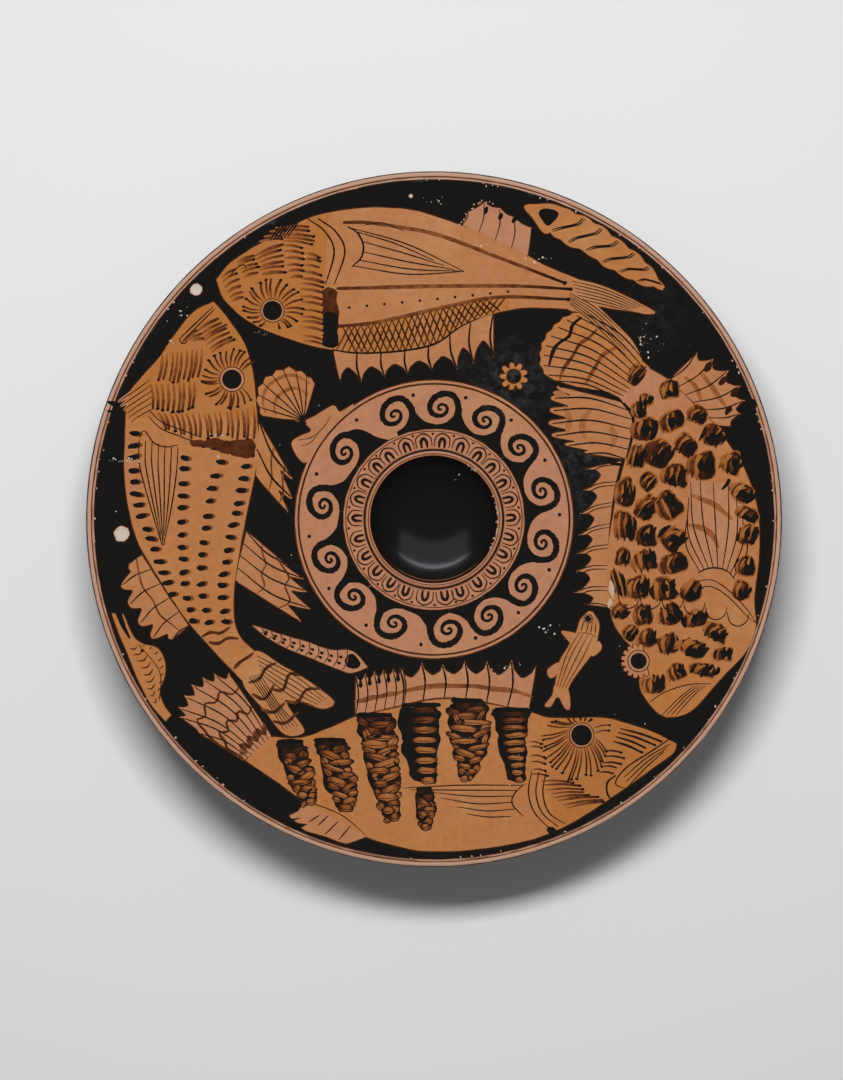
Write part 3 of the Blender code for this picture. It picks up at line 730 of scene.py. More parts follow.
def paintWrasse():
    f = wrasse
    at = spread(f["outer"], f["inner"])
    middle = [at(u, 0.5) for u in np.linspace(0, 1, 14)]
    outer, inner = smooth(f["outer"]), smooth(f["inner"])
    fin(f["tailRoot"], f["tailTips"], 0.015, 1.0, 0.85, (0.65, 0.92))
    for line, slip, width in (
            ([(63.3, 86.8), (59.6, 83.6), (58.3, 79.0), (53.9, 76.0), (51.5, 72.8), (49.7, 66.7)], 0.84, 1.6),
            ([(70.1, 81.7), (66.5, 78.0), (62.8, 75.5), (59.8, 70.4), (55.6, 64.5), (54.4, 60.5)], 0.5, 1.6),
            ([(78.0, 73.7), (72.6, 70.6), (69.2, 65.1), (65.2, 58.3)], 0.42, 1.8)):
        brush(line, width, (slip, slip + 0.1, slip), "wash", (0.7, 1.1, 0.8, 1.1, 0.6))
    fin(f["finRoot"], f["finTips"], 0.24, 0, 0.6, (0.75, 0.92))
    for line in ([(56.6, 48.2), (58.3, 43.6), (57.6, 37.2)], [(67.4, 47.3), (64.0, 41.7), (65.2, 35.0)],
                 [(76.5, 39.9), (78.0, 35.0), (76.3, 31.0)], [(52.2, 54.6), (57.1, 53.4)]):
        brush(line, 2.8, (0.22, 0.3, 0.2), "wash")
    fin(f["spineRoot"], f["spineTips"], 0.5, 0.4, 0.5, (0.5, 0.9), twin=-1.5)
    fin(f["backRoot"], f["backTips"], 0.2, 0.5, 0.5, (0.6, 0.88))
    for line in ([(108.1, 60.8), (112.4, 57.1), (114.9, 50.9)],
                 [(114.9, 62.6), (121.0, 54.6), (125.9, 47.3)]):
        brush(line, 2.0, (0.34, 0.42, 0.3), "wash")
    for spot in [(117.6, 65.4), (123.7, 59.3), (129.1, 54.4), (126.2, 46.8)]:
        lay(unsteady(oval(spot, (2.2, 1.4), 60, 0.2), 0.4, 2.0), "wash", 0.78)
    brush([(82.0, 50.0), (85.6, 44.6), (85.4, 36.0), (83.0, 26.4)], 1.1, (0.9, 1.0, 1.0, 0.8), "line",
          (0.8, 1.3, 1.1, 0.5))
    brush([(66.0, 55.4), (73.0, 54.4), (79.6, 51.6)], 2.2, 0.98, "line", (0.5, 1, 1, 0.8))
    brush([(71.5, 26.4), (77.0, 24.2), (80.4, 23.6)], 1.3, 0.96, "line", (0.4, 1, 1))
    reserve(np.vstack([outer, inner[::-1]]), "body", (0.25, 0.6, 0.75, 0.7, 0.7, 0.85, 1.0), middle)
    # breast fin over the scales, its root an arc, and the scalloped edge of the gill cover
    root = smooth([(113.6, -23.0), (117.3, -21.3), (121.3, -20.9), (125.9, -22.2), (129.1, -25.7)])
    fan = smooth([(109.3, -4.4), (109.5, 9.2), (111.4, 18.7), (114.9, 18.3), (120.5, 15.3), (126.7, 15.3),
                  (130.3, 9.2), (132.7, 2.4), (133.5, -5.6), (129.1, -14.2)])
    lay(unsteady(np.vstack([root, fan[::-1]])), "wash", 0.0, 0.3)
    for line in ([(110.9, 10.4), (114.9, 8.7), (121.0, 6.0), (127.6, 0.3)],
                 [(109.9, -2.4), (115.6, -3.9), (119.8, -7.1), (122.0, -12.0)]):
        brush(line, 2.4, (0.34, 0.44, 0.34), "brown")
    brush(root, 0.7, 0.92)
    for k in range(9):
        start, tip = sampled(root, 0.05 + 0.9 * k / 8), sampled(fan, 0.1 + 0.72 * k / 8)
        side = np.array((tip[1] - start[1], start[0] - tip[0])) * (0.14 - 0.035 * k)
        brush([start, mix(start, tip, 0.5) - side, tip], 0.55, 0.9)
    brush([(123.7, 12.8), (125.9, 15.1), (126.7, 16.8)], 1.6, 0.97, "line", (0.4, 1.2, 1.0))
    for shift in (0.0, 2.9):
        brush([(113.0, -26.6 - shift), (119.6, -26.2 - shift), (126.6, -30.6 - shift), (134.6, -39.0 - shift),
               (138.0, -44.4)], 0.5, 0.85)
    for one in f["blotches"]:
        blotch(*one)
    for k in range(6):
        left = np.array((79.4 + 9.3 * k, -32.6 - 0.3 * k * k))
        brush([left, left + (1.2, -4.2), left + (4.6, -5.8), left + (8.0, -4.0),
               left + (9.3, -0.4)], 0.55, 0.9)
    # the eye stands on the edge of the head, with a ring of petals outside it
    eyeAt = np.array(f["eye"])
    petals = []
    for k in range(11):
        for share, reach in ((0.0, 6.0), (0.2, 7.4), (0.65, 7.4), (0.85, 6.0)):
            petals.append(eyeAt + polar(reach, 72 + 22 * (k + share)))
    lay(grown(np.array(petals), 0.4), "brown", 0.75, 0.4)
    lay(petals, "brown", 0.0, 0.5)
    eye(eyeAt, 4.5, 3.2)
    brush([(92.8, -78.5), (99.4, -74.2), (109.5, -71.0), (119.0, -70.6)], 0.5, 0.9)
    for k in range(4):
        brush([(98.0 + 2.0 * k, -84.0), (105.0 + 2.4 * k, -77.0 + 0.7 * k),
               (112.0 + 1.6 * k, -71.4)], 0.45, 0.88)


# Perch, head to the right, along the bottom

perch = {
    "back": [(103.9, -96.4), (94.0, -91.4), (84.2, -88.2), (73.1, -85.4), (59.0, -85.7), (48.8, -85.3),
             (40.3, -82.8), (23.6, -79.2), (8.4, -77.0), (-5.0, -77.8), (-20.3, -81.5), (-32.4, -84.6),
             (-44.5, -89.6), (-57.0, -94.0), (-70.8, -93.6)],
    "belly": [(103.9, -96.4), (102.4, -100.4), (94.4, -106.3), (81.2, -115.8), (66.0, -126.0), (52.9, -133.2),
              (38.7, -138.1), (18.5, -141.5), (-1.7, -142.4), (-15.2, -140.4), (-29.4, -136.1),
              (-40.5, -129.6), (-54.6, -122.0), (-65.8, -113.9), (-80.9, -103.6)],
    "softFin": ([(-34.0, -85.0), (-24.0, -82.8), (-13.0, -80.2)],
                [(-33.5, -67.3), (-29.7, -66.5), (-25.7, -65.6), (-21.7, -65.0), (-17.6, -64.5),
                 (-13.4, -64.2)]),
    "backFinRoot": [(-13.6, -80.4), (-2.0, -77.8), (10.0, -77.4), (26.0, -79.8), (40.6, -83.4)],
    "backFinTips": [(-14.6, -64.2), (-5.2, -61.9), (3.8, -62.8), (13.4, -61.2), (22.9, -61.5), (33.6, -60.8),
                    (44.2, -63.0)],
    "tailRoot": [(-70.0, -93.0), (-75.0, -98.0), (-81.6, -103.4)],
    "tailTips": [(-88.6, -66.0), (-94.6, -66.4), (-99.6, -68.0), (-104.2, -71.0), (-107.4, -75.6),
                 (-109.8, -80.6), (-109.4, -84.6), (-101.0, -91.6), (-90.0, -98.4)],
    "bellyFin": [(-55.5, -121.3), (-49.4, -123.6), (-40.4, -126.9), (-30.3, -134.8), (-29.1, -136.2),
                 (-33.6, -138.0), (-37.6, -139.1), (-41.5, -138.0), (-46.0, -136.2), (-50.5, -134.8),
                 (-54.5, -133.7), (-57.0, -132.3), (-54.1, -130.8), (-58.2, -130.3), (-60.0, -129.4),
                 (-57.0, -128.1), (-61.1, -128.5), (-62.0, -127.2), (-58.2, -125.4)],
    "eye": (63.5, -92.9), "headEnd": 0.315,
    # every bar: the line down its middle, its widths, its rows, how jumbled they are, its black side
    "bars": [
        ([(-61.8, -95.4), (-58.2, -106.7), (-53.7, -122.7)], (12, 12.5, 13, 5), 8, 1.0, 0.6),
        ([(-44.9, -94.9), (-41.3, -107.8), (-37.2, -125.4)], (15, 15, 14, 7), 9, 0.9, 1.2),
        ([(-26.0, -84.2), (-22.8, -101.1), (-18.1, -129.4)], (17, 18, 15, 12, 6), 13, 0.8, 1.0),
        ([(-5.5, -79.9), (-5.1, -98.8), (-3.7, -114.6)], (19, 18, 17, 15, 10), 8, 0.0, 4.2),
        ([(-4.4, -115.9), (-3.5, -124.7), (-3.7, -133.5)], (6, 9, 8, 3), 6, 1.0, 0.5),
        ([(14.3, -78.1), (15.9, -95.4), (13.8, -112.9)], (15, 19, 19, 12, 5), 10, 0.9, 0.8),
        ([(33.4, -81.9), (34.5, -98.8), (35.9, -113.7)], (16.5, 15, 13, 10, 6), 10, 0.15, 2.2)],
}


def lozenge(spot, size, turn):
    # a round-ended press of the brush
    a = np.linspace(0, 2 * math.pi, 16, endpoint=False)
    x = np.sign(np.cos(a)) * np.abs(np.cos(a)) ** 0.75 * size[0]
    c, d = math.cos(math.radians(turn)), math.sin(math.radians(turn))
    y = np.sin(a) * size[1]
    return unsteady(np.column_stack([spot[0] + x * c - y * d, spot[1] + x * d + y * c]), 0.35, 2.2)


def bar(spine, widths, rows, jumble, dark):
    # a bar down the flank: golden presses of the brush, each lapping over the one above, with black between
    line = smooth(spine)
    loose = jumble > 0.5
    rows = int(rows * 1.3) if loose else rows
    pitch = np.linalg.norm(line[-1] - line[0]) / rows
    sides = [[], []]
    for k in range(rows):
        share, way = (k + 0.5) / rows, 1 if k % 2 else -1
        half = np.interp(share, np.linspace(0, 1, len(widths)), widths) / 2
        spot = sampled(line, share)
        for side in (-1, 1):
            sides[side > 0].append(spot + (side * half * hand.uniform(0.7, 1.0), hand.uniform(-0.9, 0.9)))
        shade = max(0.0, 0.4 - 0.13 * k) + hand.uniform(-0.06, 0.16 if loose else 0.0)
        turn = hand.uniform(-4, 4) + jumble * way * hand.uniform(-6, 34)
        reach = half * hand.uniform(0.5, 0.82) if loose else half - 0.7 - 0.75 * dark * (1 - 0.35 * share)
        presses = [(spot + (jumble * way * (half - reach) * 0.9 + dark * 0.3, 0.0), reach,
                    pitch * (hand.uniform(0.34, 0.56) if loose else 0.31), turn)]
        if loose:
            short = spot + (-way * half * hand.uniform(0.5, 0.75), hand.uniform(-0.5, 0.5) * pitch)
            presses.insert(0, (short, half * hand.uniform(0.22, 0.42), pitch * hand.uniform(0.3, 0.5),
                               turn - way * hand.uniform(20, 70)))
        for middle, long, deep, lean in presses:
            ends = np.linspace(middle - polar(long, lean), middle + polar(long, lean), 9)
            gold = unsteady(lozenge(middle, (long, deep), lean), 0.4, 1.6)
            lay(grown(gold, 0.42), "line", 0.9)
            lay(gold, "line", [tone + shade for tone in (0.66, 0.36, 0.24, 0.32, 0.62)], along=ends)
            brush(ends[1:7] - (0.0, deep * 0.4), 0.45, min(0.66 + shade, 1.0), "line")
        if loose and k % 2:
            dab = spot + (half * hand.uniform(-0.7, 0.7), hand.uniform(-0.6, 0.6) * pitch)
            brush([dab, dab + polar(hand.uniform(1.8, 3.6), hand.uniform(-60, 60))], hand.uniform(0.9, 1.8),
                  0.96, "line", (0.5, 1, 0.6))
    outline = smooth(sides[0] + sides[1][::-1], closed=True)
    lay(grown(unsteady(outline, 0.8, 2.0), 0.4), "brown", 0.86 if loose else 0.97)
    brush([p + (dark * 0.3, 0) for p in sides[0]], dark + 1.2, (1.0, 1.0, 0.96, 0.9), "brown",
          (1.0, 1.1, 1.0, 0.7, 0.3))
    if not loose:
        brush([p - (0.6, 0) for p in sides[1]], 1.8, (1.0, 0.98, 0.9), "brown", (1.0, 1.0, 0.6, 0.3))
    brush([line[0] - (widths[0] * 0.42, 0.2), line[0] + (widths[0] * 0.42, -0.2)], 2.4, 0.97, "line",
          (0.7, 1, 0.7))


def paintPerch():
    f = perch
    fin(f["tailRoot"], f["tailTips"], 0.1, 0.6, 0.35, (0.6, 0.9),
        [(0.72, 0.08, 0.6, 1.2), (0.42, 0.09, 0.6, 1.4), (0.12, 0.1, 0.5, 2.6)])
    reserve(np.array(f["bellyFin"]), "fin", 0.45)
    for line in ([(-49.4, -127.2), (-53.7, -129.9)], [(-45.6, -127.4), (-49.8, -131.4)],
                 [(-41.3, -129.9), (-46.9, -135.3)], [(-35.9, -131.7), (-40.8, -137.5)]):
        brush(line, 0.6, 0.9)
    brush([(-55.5, -120.9), (-46.0, -124.2), (-38.1, -128.1), (-29.4, -135.5)], 0.5, 0.8)
    fin(*f["softFin"], 0.16, 0.4, 0.25, (0.6, 0.9), [(0.36, 0.02, 0.4, 2.4)])
    fin(f["backFinRoot"], f["backFinTips"], 0.34, 0.45, 0.25, (0.85, 0.9), [(0.36, 0.02, 0.4, 2.4)])
    brush([(-34.0, -85.0), (-20.0, -81.8), *f["backFinRoot"]], 0.9, (0.5, 0.6, 0.5), "brown")
    for a, b in zip(f["softFin"][1], f["softFin"][1][1:]):
        between = mix(a, b, 0.5)
        brush([between, between - (0.1, 2.6), between - (0.0, 5.0)], 1.5, 0.98, "line", (0.7, 0.6, 1.3))
    fishBody(f, "back", "belly", (1.0, 1.0, 0.95, 0.75, 0.75, 0.8, 0.9, 0.95))
    for one in f["bars"]:
        bar(*one)
    eyeAt = np.array(f["eye"])
    near = [(60.3, -87.9), (58.2, -90.5), (57.7, -93.2), (58.8, -96.0), (60.9, -97.8), (63.3, -98.5),
            (65.9, -98.0), (68.2, -96.3), (69.3, -94.1)]
    far = [(52.4, -86.4), (47.9, -89.8), (46.2, -94.9), (47.9, -101.1), (50.2, -105.6), (56.4, -111.4),
           (64.2, -111.4), (71.5, -106.7), (74.9, -99.4)]
    combed(near, far, 22, 0.8, 0.62, 0.9)
    guides = [
        ([(60.4, -87.8), (63.1, -87.0), (66.5, -87.3)],
         [(57.7, -85.8), (62.7, -85.3), (68.2, -86.2)], 5, 0.9, 0.7),
        ([(69.0, -89.8), (69.6, -92.1)], [(75.7, -88.5), (74.8, -91.2)], 2, 0.6, 0.7),
        ([(80.0, -90.0), (78.6, -92.7), (77.1, -95.7)],
         [(96.4, -95.0), (93.7, -97.5), (88.8, -100.2)], 4, 1.0, 0.8),
        ([(72.8, -99.5), (73.2, -103.9), (71.2, -108.7)],
         [(80.7, -99.9), (81.3, -103.3), (77.1, -109.2)], 5, 0.9, 0.7),
        ([(46.2, -112.3), (49.2, -116.8), (57.0, -124.0)], [(60.4, -113.0), (66.5, -117.7), (73.5, -121.1)],
         8, 1.0, 0.55),
        ([(41.1, -95.4), (41.5, -103.3), (42.2, -110.1)], [(46.5, -96.3), (47.4, -103.9), (48.7, -110.7)],
         6, 0.8, 0.55)]
    for first, last, count, width, slip in guides:
        combed(first, last, count, width, slip, 0.8)
    eye(eyeAt, 5.2, 4.2)
    # mouth, gill arcs and the breast fin's rays
    brush([(100.6, -94.6), (92.3, -100.2), (84.2, -105.3), (79.4, -110.0), (77.9, -113.6),
           (81.4, -115.4)], 0.7, 0.93)
    for k in range(3):
        brush([(101.0 - 1.2 * k, -96.6 - 1.6 * k), (91.0, -102.6 - 1.9 * k),
               (81.6 + k, -110.6 - 1.8 * k)], 0.55, 0.88)
    for shift in (0.0, 3.2, 6.2):
        brush([(42.0 + shift, -108.6), (40.6 + shift, -117.6), (43.2 + shift, -126.0),
               (50.0 + shift, -133.2 + shift * 0.4)], 0.65, 0.86)
    brush([(78.0, -110.0), (74.4, -113.0), (74.6, -118.4), (78.0, -121.4)], 0.9, 0.94)
    brush([(38.7, -113.9), (34.4, -118.2), (33.7, -122.5), (38.3, -127.6)], 0.6, 0.92)
    for start, tip, bow in (((38.0, -114.4), (-13.0, -115.6), 0.6), ((36.0, -116.6), (-10.0, -116.4), 0.0),
                            ((34.6, -119.0), (0.0, -117.6), -0.8), ((34.0, -121.6), (3.0, -119.8), -1.6),
                            ((34.4, -124.6), (10.0, -123.6), -1.2), ((33.0, -127.6), (14.0, -126.6), -0.8)):
        brush([start, mix(start, tip, 0.5) + np.array((0, bow)), tip], 0.55, (0.85, 0.9, 0.75))
    dot((50.5, -133.6), 1.6, 0.95, stretch=1.5, turn=-25)


# Shells and small creatures that fill the gaps

smallThings = {
    "scallopHinge": (-56.4, 42.0), "scallopFan": (73.0, 174.0), "scallopRibs": 8,
    "scallopReach": ((74, 90, 106, 135, 150, 174), (18.0, 21.5, 24.8, 25.2, 23.5, 17.5)),
    "rosette": (34.5, 61.8), "rosetteRadius": 5.9, "rosettePetals": 9,
}


def paintScallop():
    f = smallThings
    hinge = np.array(f["scallopHinge"])
    first, last = f["scallopFan"]
    ribs = f["scallopRibs"]
    edge = [hinge]

    def rib(share, inset=1.0):
        angle = first + (last - first) * share
        return hinge + polar(inset * np.interp(angle, *f["scallopReach"]), angle)

    for k in range(ribs):
        for part in (0.0, 0.25, 0.5, 0.75):
            edge.append(rib((k + part) / ribs, 1 - 0.05 * abs(2 * part - 1)))
    reserve(np.array(edge), "body", 0.7)
    for inset in (0.62, 0.86):
        brush([rib(share, inset) for share in np.linspace(0.08, 0.92, 9)], 1.5, (0.3, 0.4, 0.3), "wash")
    for k in range(ribs + 1):
        tip = rib(k / ribs, 0.95)
        brush([hinge + (0.2, 0.8), mix(hinge, tip, 0.5) + (0.4, 0.2), tip], 0.6, (0.95, 0.85, 0.85))
    brush([hinge + (-1.6, 0.6), hinge + (1.2, -0.4)], 1.1, 0.95)
    # the waved lump of clay colour between the scallop and the ring
    lump = [(-61.6, 32.6), (-57.3, 36.2), (-53.0, 38.4), (-55.6, 42.2), (-51.4, 44.7), (-43.5, 49.2),
            (-40.5, 46.4), (-34.6, 49.9), (-38.0, 44.0), (-46.0, 36.6), (-52.0, 28.0), (-56.6, 24.6)]
    reserve(smooth(lump, closed=True), "fin", 0.35)
    brush([(-58.6, 34.2), (-52.6, 35.6), (-47.0, 40.6), (-44.6, 45.0)], 0.4, 0.82)
    brush([(-57.4, 31.6), (-53.4, 33.2), (-49.6, 37.4)], 0.35, 0.75)


def paintRosette():
    spot, reach = np.array(smallThings["rosette"]), smallThings["rosetteRadius"]
    edge = []
    petals = smallThings["rosettePetals"]
    for k in range(petals):
        for share, out in ((0.05, 0.66), (0.28, 0.98), (0.5, 1.04), (0.72, 0.98), (0.95, 0.66)):
            edge.append(spot + polar(reach * out * hand.uniform(0.95, 1.05), 360 / petals * (k + share)))
    reserve(np.array(edge), "body", 0.8)
    bandEdge = oval(spot, (reach * 0.5, reach * 0.5), rough=0.03, count=18)
    lay(grown(bandEdge, 0.5), "line", 0.62)
    lay(bandEdge, "line", 0.99)


def paintWhelk():
    mouth = [(38.6, 134.4), (45.0, 135.2), (52.0, 134.8), (59.4, 131.2), (54.2, 127.0), (49.0, 122.7),
             (46.2, 123.8), (42.6, 129.0)]
    outer = [(53.0, 133.6), (60.0, 131.0), (69.0, 126.6), (77.0, 120.8), (86.8, 113.4),
             (93.6, 106.4), (98.6, 99.0)]
    inner = [(49.0, 125.6), (53.2, 121.0), (60.0, 117.4), (66.0, 114.8), (73.0, 109.6), (81.0, 105.4),
             (89.0, 101.4), (98.6, 99.0)]
    edges = []
    for line, out in ((smooth(outer), 0.9), (smooth(inner), -0.9)):
        swell = np.abs(np.sin(np.linspace(0.4, 6.5 * math.pi, len(line))))[:, None]
        edges.append(line + np.array((0.5, 0.86)) * out * swell)
    reserve(np.vstack([edges[0], edges[1][::-1]]), "body", 0.85)
    reserve(smooth(mouth, closed=True), "body", 0.8)
    hole = smooth([(45.0, 132.2), (48.4, 133.4), (53.6, 131.0), (49.4, 126.0), (46.2, 128.4)], closed=True)
    lay(unsteady(hole, 0.3, 2.0), "line", 1.0)
    at = spread(outer, inner)
    for k in range(6):
        u = 0.1 + 0.15 * k
        for shift in (0.0, 0.016):
            brush([at(u + 0.1 + shift, 0.98), at(u + 0.08 + shift, 0.72), at(u - 0.02 + shift, 0.3),
                   at(u - 0.06 + shift, 0.03)], 0.65, 0.88)


def paintLittleFish():
    left = [(66.8, -39.6), (63.2, -43.4), (61.4, -48.6), (57.9, -54.9), (54.4, -61.0), (53.0, -67.0),
            (52.2, -73.0)]
    right = [(68.6, -39.9), (71.2, -45.0), (70.6, -51.0), (68.6, -57.2), (64.0, -63.6), (59.6, -69.4),
             (57.4, -74.0)]
    reserve(np.vstack([smooth(left), smooth(right)[::-1]]), "body", 0.75)
    reserve(smooth([(52.4, -71.0), (51.0, -76.0), (47.6, -80.2), (50.4, -80.6), (53.4, -76.4), (56.4, -81.4),
                    (58.6, -81.2), (57.6, -72.6)], closed=True), "fin", 0.5)
    for fan in ([(61.6, -49.6), (55.0, -48.2), (57.6, -51.8), (59.6, -53.6)],
                [(53.8, -61.8), (49.0, -65.0), (50.2, -68.6), (53.0, -66.8)],
                [(70.4, -52.6), (72.4, -55.0), (70.2, -58.2), (67.6, -58.6)]):
        reserve(smooth(fan, closed=True), "fin", 0.5)
    at = spread(left, right)
    eye(np.array((66.6, -42.9)), 1.75, 1.15)
    for v in (0.22, 0.45, 0.68, 0.86):
        brush([at(u, v) for u in (0.3, 0.6, 0.97)], 0.42, (0.6, 0.86, 0.8))
    for v in (0.15, 0.35, 0.55, 0.8):
        brush([at(0.14, v), at(0.27, v)], 0.5, (0.5, 0.85))
    brush([at(0.3, 0.05), at(0.28, 0.5), at(0.3, 0.95)], 0.35, 0.7)


def paintSpireShell():
    upper = [(-78.3, -45.6), (-66.0, -49.6), (-54.6, -53.0), (-45.0, -56.2), (-37.4, -56.4), (-33.6, -58.0),
             (-28.6, -63.9)]
    lower = [(-78.3, -45.6), (-73.4, -50.0), (-62.7, -55.9), (-50.6, -60.8), (-40.5, -64.9), (-35.6, -66.2),
             (-28.6, -63.9)]
    reserve(np.vstack([smooth(upper), smooth(lower)[::-1][:-1]]), "body", 0.1)
    lay(unsteady(smooth([(-38.4, -60.4), (-35.4, -57.9), (-31.8, -62.0), (-33.6, -64.4), (-37.4, -63.6)],
                        closed=True), 0.2), "line", 1.0)
    at = spread(upper, lower)
    for k in range(10):
        u = 0.08 + 0.078 * k
        brush([at(u, 0.98), at(u + 0.025, 0.5), at(u + 0.01, 0.02)], 0.55, (0.85, 0.5, 0.88))
        for v in (0.3, 0.62):
            dot(at(u + 0.045, v), 0.66, (0.8, 0.95), stretch=1.4, turn=-30)


def paintCuttlefish():
    outer = [(-138.3, -40.4), (-135.2, -48.6), (-131.5, -57.7), (-126.8, -68.9), (-121.6, -79.0),
             (-115.2, -86.6)]
    inner = [(-133.4, -40.6), (-129.4, -49.6), (-125.2, -53.4), (-118.9, -55.4), (-115.8, -60.6),
             (-115.6, -66.8), (-117.6, -73.6), (-116.2, -79.4), (-112.8, -84.0)]
    reserve(np.vstack([smooth(outer), smooth(inner)[::-1]]), "body", 0.85)
    brush([(-135.6, -39.6), (-133.2, -46.0), (-130.6, -51.0)], 2.0, 1.0, "line", (1.3, 1, 0.4))
    dot((-125.2, -56.4), 0.75, 0.97)
    at = spread(outer, inner)
    for k in range(9):
        u = 0.32 + 0.062 * k
        brush([at(u, 0.78), at(u + 0.02, 0.6), at(u - 0.01, 0.42)], 0.7, (0.45, 0.75, 0.45), "brown")
        brush([at(u, 0.06), at(u + 0.012, 0.2)], 0.5, 0.85)
    brush([at(0.3, 0.24), at(0.6, 0.22), at(0.85, 0.26)], 0.4, 0.8)


# Losses: spalls down to pale body, specks and small chips

losses = {
    "spalls": [((-134.1, -6.3), 3.3, 0.45), ((-102.0, 98.6), 2.5, 0.35), ((-10.0, 138.6), 0.8, 0.1)],
    "clusters": [((-133.6, 25.0), 22, 9.0, 1.5), ((90.5, 76.5), 26, 6.0, 5.0), ((-94.0, 36.0), 9, 2.2, 0.9),
                 ((50.0, -47.5), 9, 5.0, 3.0), ((-73.0, 80.0), 10, 5.0, 1.6), ((20.0, 118.0), 10, 4.0, 1.2),
                 ((-1.0, 136.6), 8, 7.0, 1.2), ((-107.5, 88.5), 8, 3.0, 4.5), ((-92.0, 27.5), 7, 2.4, 2.4),
                 ((10.0, 19.0), 3, 2.0, 2.0), ((33.6, -63.2), 8, 4.0, 1.6), ((-113.0, 78.0), 6, 2.0, 5.0),
                 ((45.0, 112.0), 9, 5.0, 3.0)],
    "single": 46, "singleBand": (62, 143),
    "scuffs": [((76.8, -29.8), 1.0, 4.2, 8), ((75.9, -36.0), 0.7, 2.0, 0)],
    "brimChips": ((-8.0, 9), (14.0, 5), (60.0, 3)), "lipChips": 70, "lipChipRadius": 145.4,
}


def paintLosses():
    for spot, size, _ in losses["spalls"]:
        rim = unsteady(oval(spot, (size, size * 0.93), 30, 0.06, 26), 0.3, 2.0)
        lay(grown(rim, 0.3), "scar", 0.55, 0.6)
        lay(rim, "scar", 0.0, 0.5, 0.85)
        lay(mix(rim, np.array(spot), 0.35), "scar", 0.0, 0.5, 1.0)
    for spot, count, wide, deep in losses["clusters"]:
        for _ in range(count):
            place = (spot[0] + hand.gauss(0, 0.5) * wide, spot[1] + hand.gauss(0, 0.5) * deep)
            size = 0.12 + 0.42 * hand.random() ** 3
            lay(oval(place, (size, size * hand.uniform(0.6, 1.4)), hand.uniform(0, 90), 0.35, 6), "scar",
                0.0, 0.3, 0.9)
    for spot, wide, tall, turn in losses["scuffs"]:
        lay(unsteady(oval(spot, (wide, tall), turn, 0.2, 14), 0.5, 2.0), "scar", 0.0, 0.2, 0.55)
    for _ in range(losses["single"]):
        place = polar(hand.uniform(*losses["singleBand"]), hand.uniform(0, 360))
        size = 0.1 + 0.24 * hand.random() ** 2
        lay(oval(place, (size, size), 0, 0.3, 6), "scar", 0.0, 0.3, hand.uniform(0.5, 1.0))
    # small chips along the brim of the well and the lip
    for angle, count in losses["brimChips"]:
        for _ in range(count):
            place = polar(s["wellRadius"] + hand.uniform(0.0, 0.6), angle + hand.gauss(0, 9))
            lay(oval(place, (hand.uniform(0.25, 0.6), hand.uniform(0.3, 0.9)),
                     math.degrees(math.atan2(place[1], place[0])), 0.3, 7), "scar", 0.0, 0.1, 0.6)
    for _ in range(losses["lipChips"]):
        place = polar(losses["lipChipRadius"] + hand.gauss(0, 0.35), hand.uniform(0, 360))
        lay(oval(place, (hand.uniform(0.2, 0.5), hand.uniform(0.2, 0.6)), 0, 0.3, 6), "scar", 0.0, 0.1,
            hand.uniform(0.2, 0.7))


# the black ground reaches a little past the rim
lay(ringPoints(s["radius"] + 2.0, 120), "ground", 1.0, 0.0, 0.0)
waveBorder()
eggBorder()
paintedLip()
paintSeaBream()
paintMullet()
paintWrasse()
paintPerch()
paintScallop()
paintRosette()
paintWhelk()
paintLittleFish()
paintSpireShell()
paintCuttlefish()
paintLosses()
painting.sort(key=lambda stroke: stroke["level"])
print("painted", len(painting), "strokes")


# The painting is cut into one flat mesh: every outline becomes edges, every triangle takes its top stroke

cutting = {
    "wellSteps": 144, "poleSteps": 48, "poleReach": 4.0,
    "fillGap": 4.2, "fillStep": 5.0,  # loose points between the strokes, so that the floor's dish stays round
}


def cutPainting():
    points, edges = [], []

    def close(run):
        first = sum(len(p) for p in points)
        points.append(run)
        edges.extend((first + k, first + (k + 1) % len(run)) for k in range(len(run)))

    for stroke in painting:
        if stroke["level"] != levels.index("ground"):
            close(stroke["edge"])
    for radius, _ in topProfile()[1:]:
        onFloor = floorInnerR < radius < floorOuterR
        if not onFloor:
            count = s["steps"] if radius > floorOuterR - 1 else cutting["wellSteps"]
            if radius < s["wellFlat"] + cutting["poleReach"]:
                count = cutting["poleSteps"]
            close(ringPoints(radius, count))
    gap = cutting["fillGap"]
    for radius in np.arange(floorInnerR + gap, floorOuterR - 1, gap):
        count = int(radius * 2 * math.pi / cutting["fillStep"])
        points.append(ringPoints(radius, count))
    points.append(np.zeros((1, 2)))
    spots = [Vector(p) for p in np.vstack(points)]
    cut = delaunay_2d_cdt(spots, edges, [], 0, 1e-4, False)
    flat = np.array([tuple(v) for v in cut[0]])
    return flat, np.array(cut[2], int)


def covered(edge, spots):
    # which spots lie inside an outline, by the turns that it makes round them
    x, y = spots[:, :1], spots[:, 1:]
    a, b = edge, np.roll(edge, -1, 0)
    up = (a[:, 1] <= y) & (b[:, 1] > y)
    down = (a[:, 1] > y) & (b[:, 1] <= y)
    side = (b[:, 0] - a[:, 0]) * (y - a[:, 1]) - (x - a[:, 0]) * (b[:, 1] - a[:, 1])
    return (up & (side > 0)).sum(1) != (down & (side < 0)).sum(1)


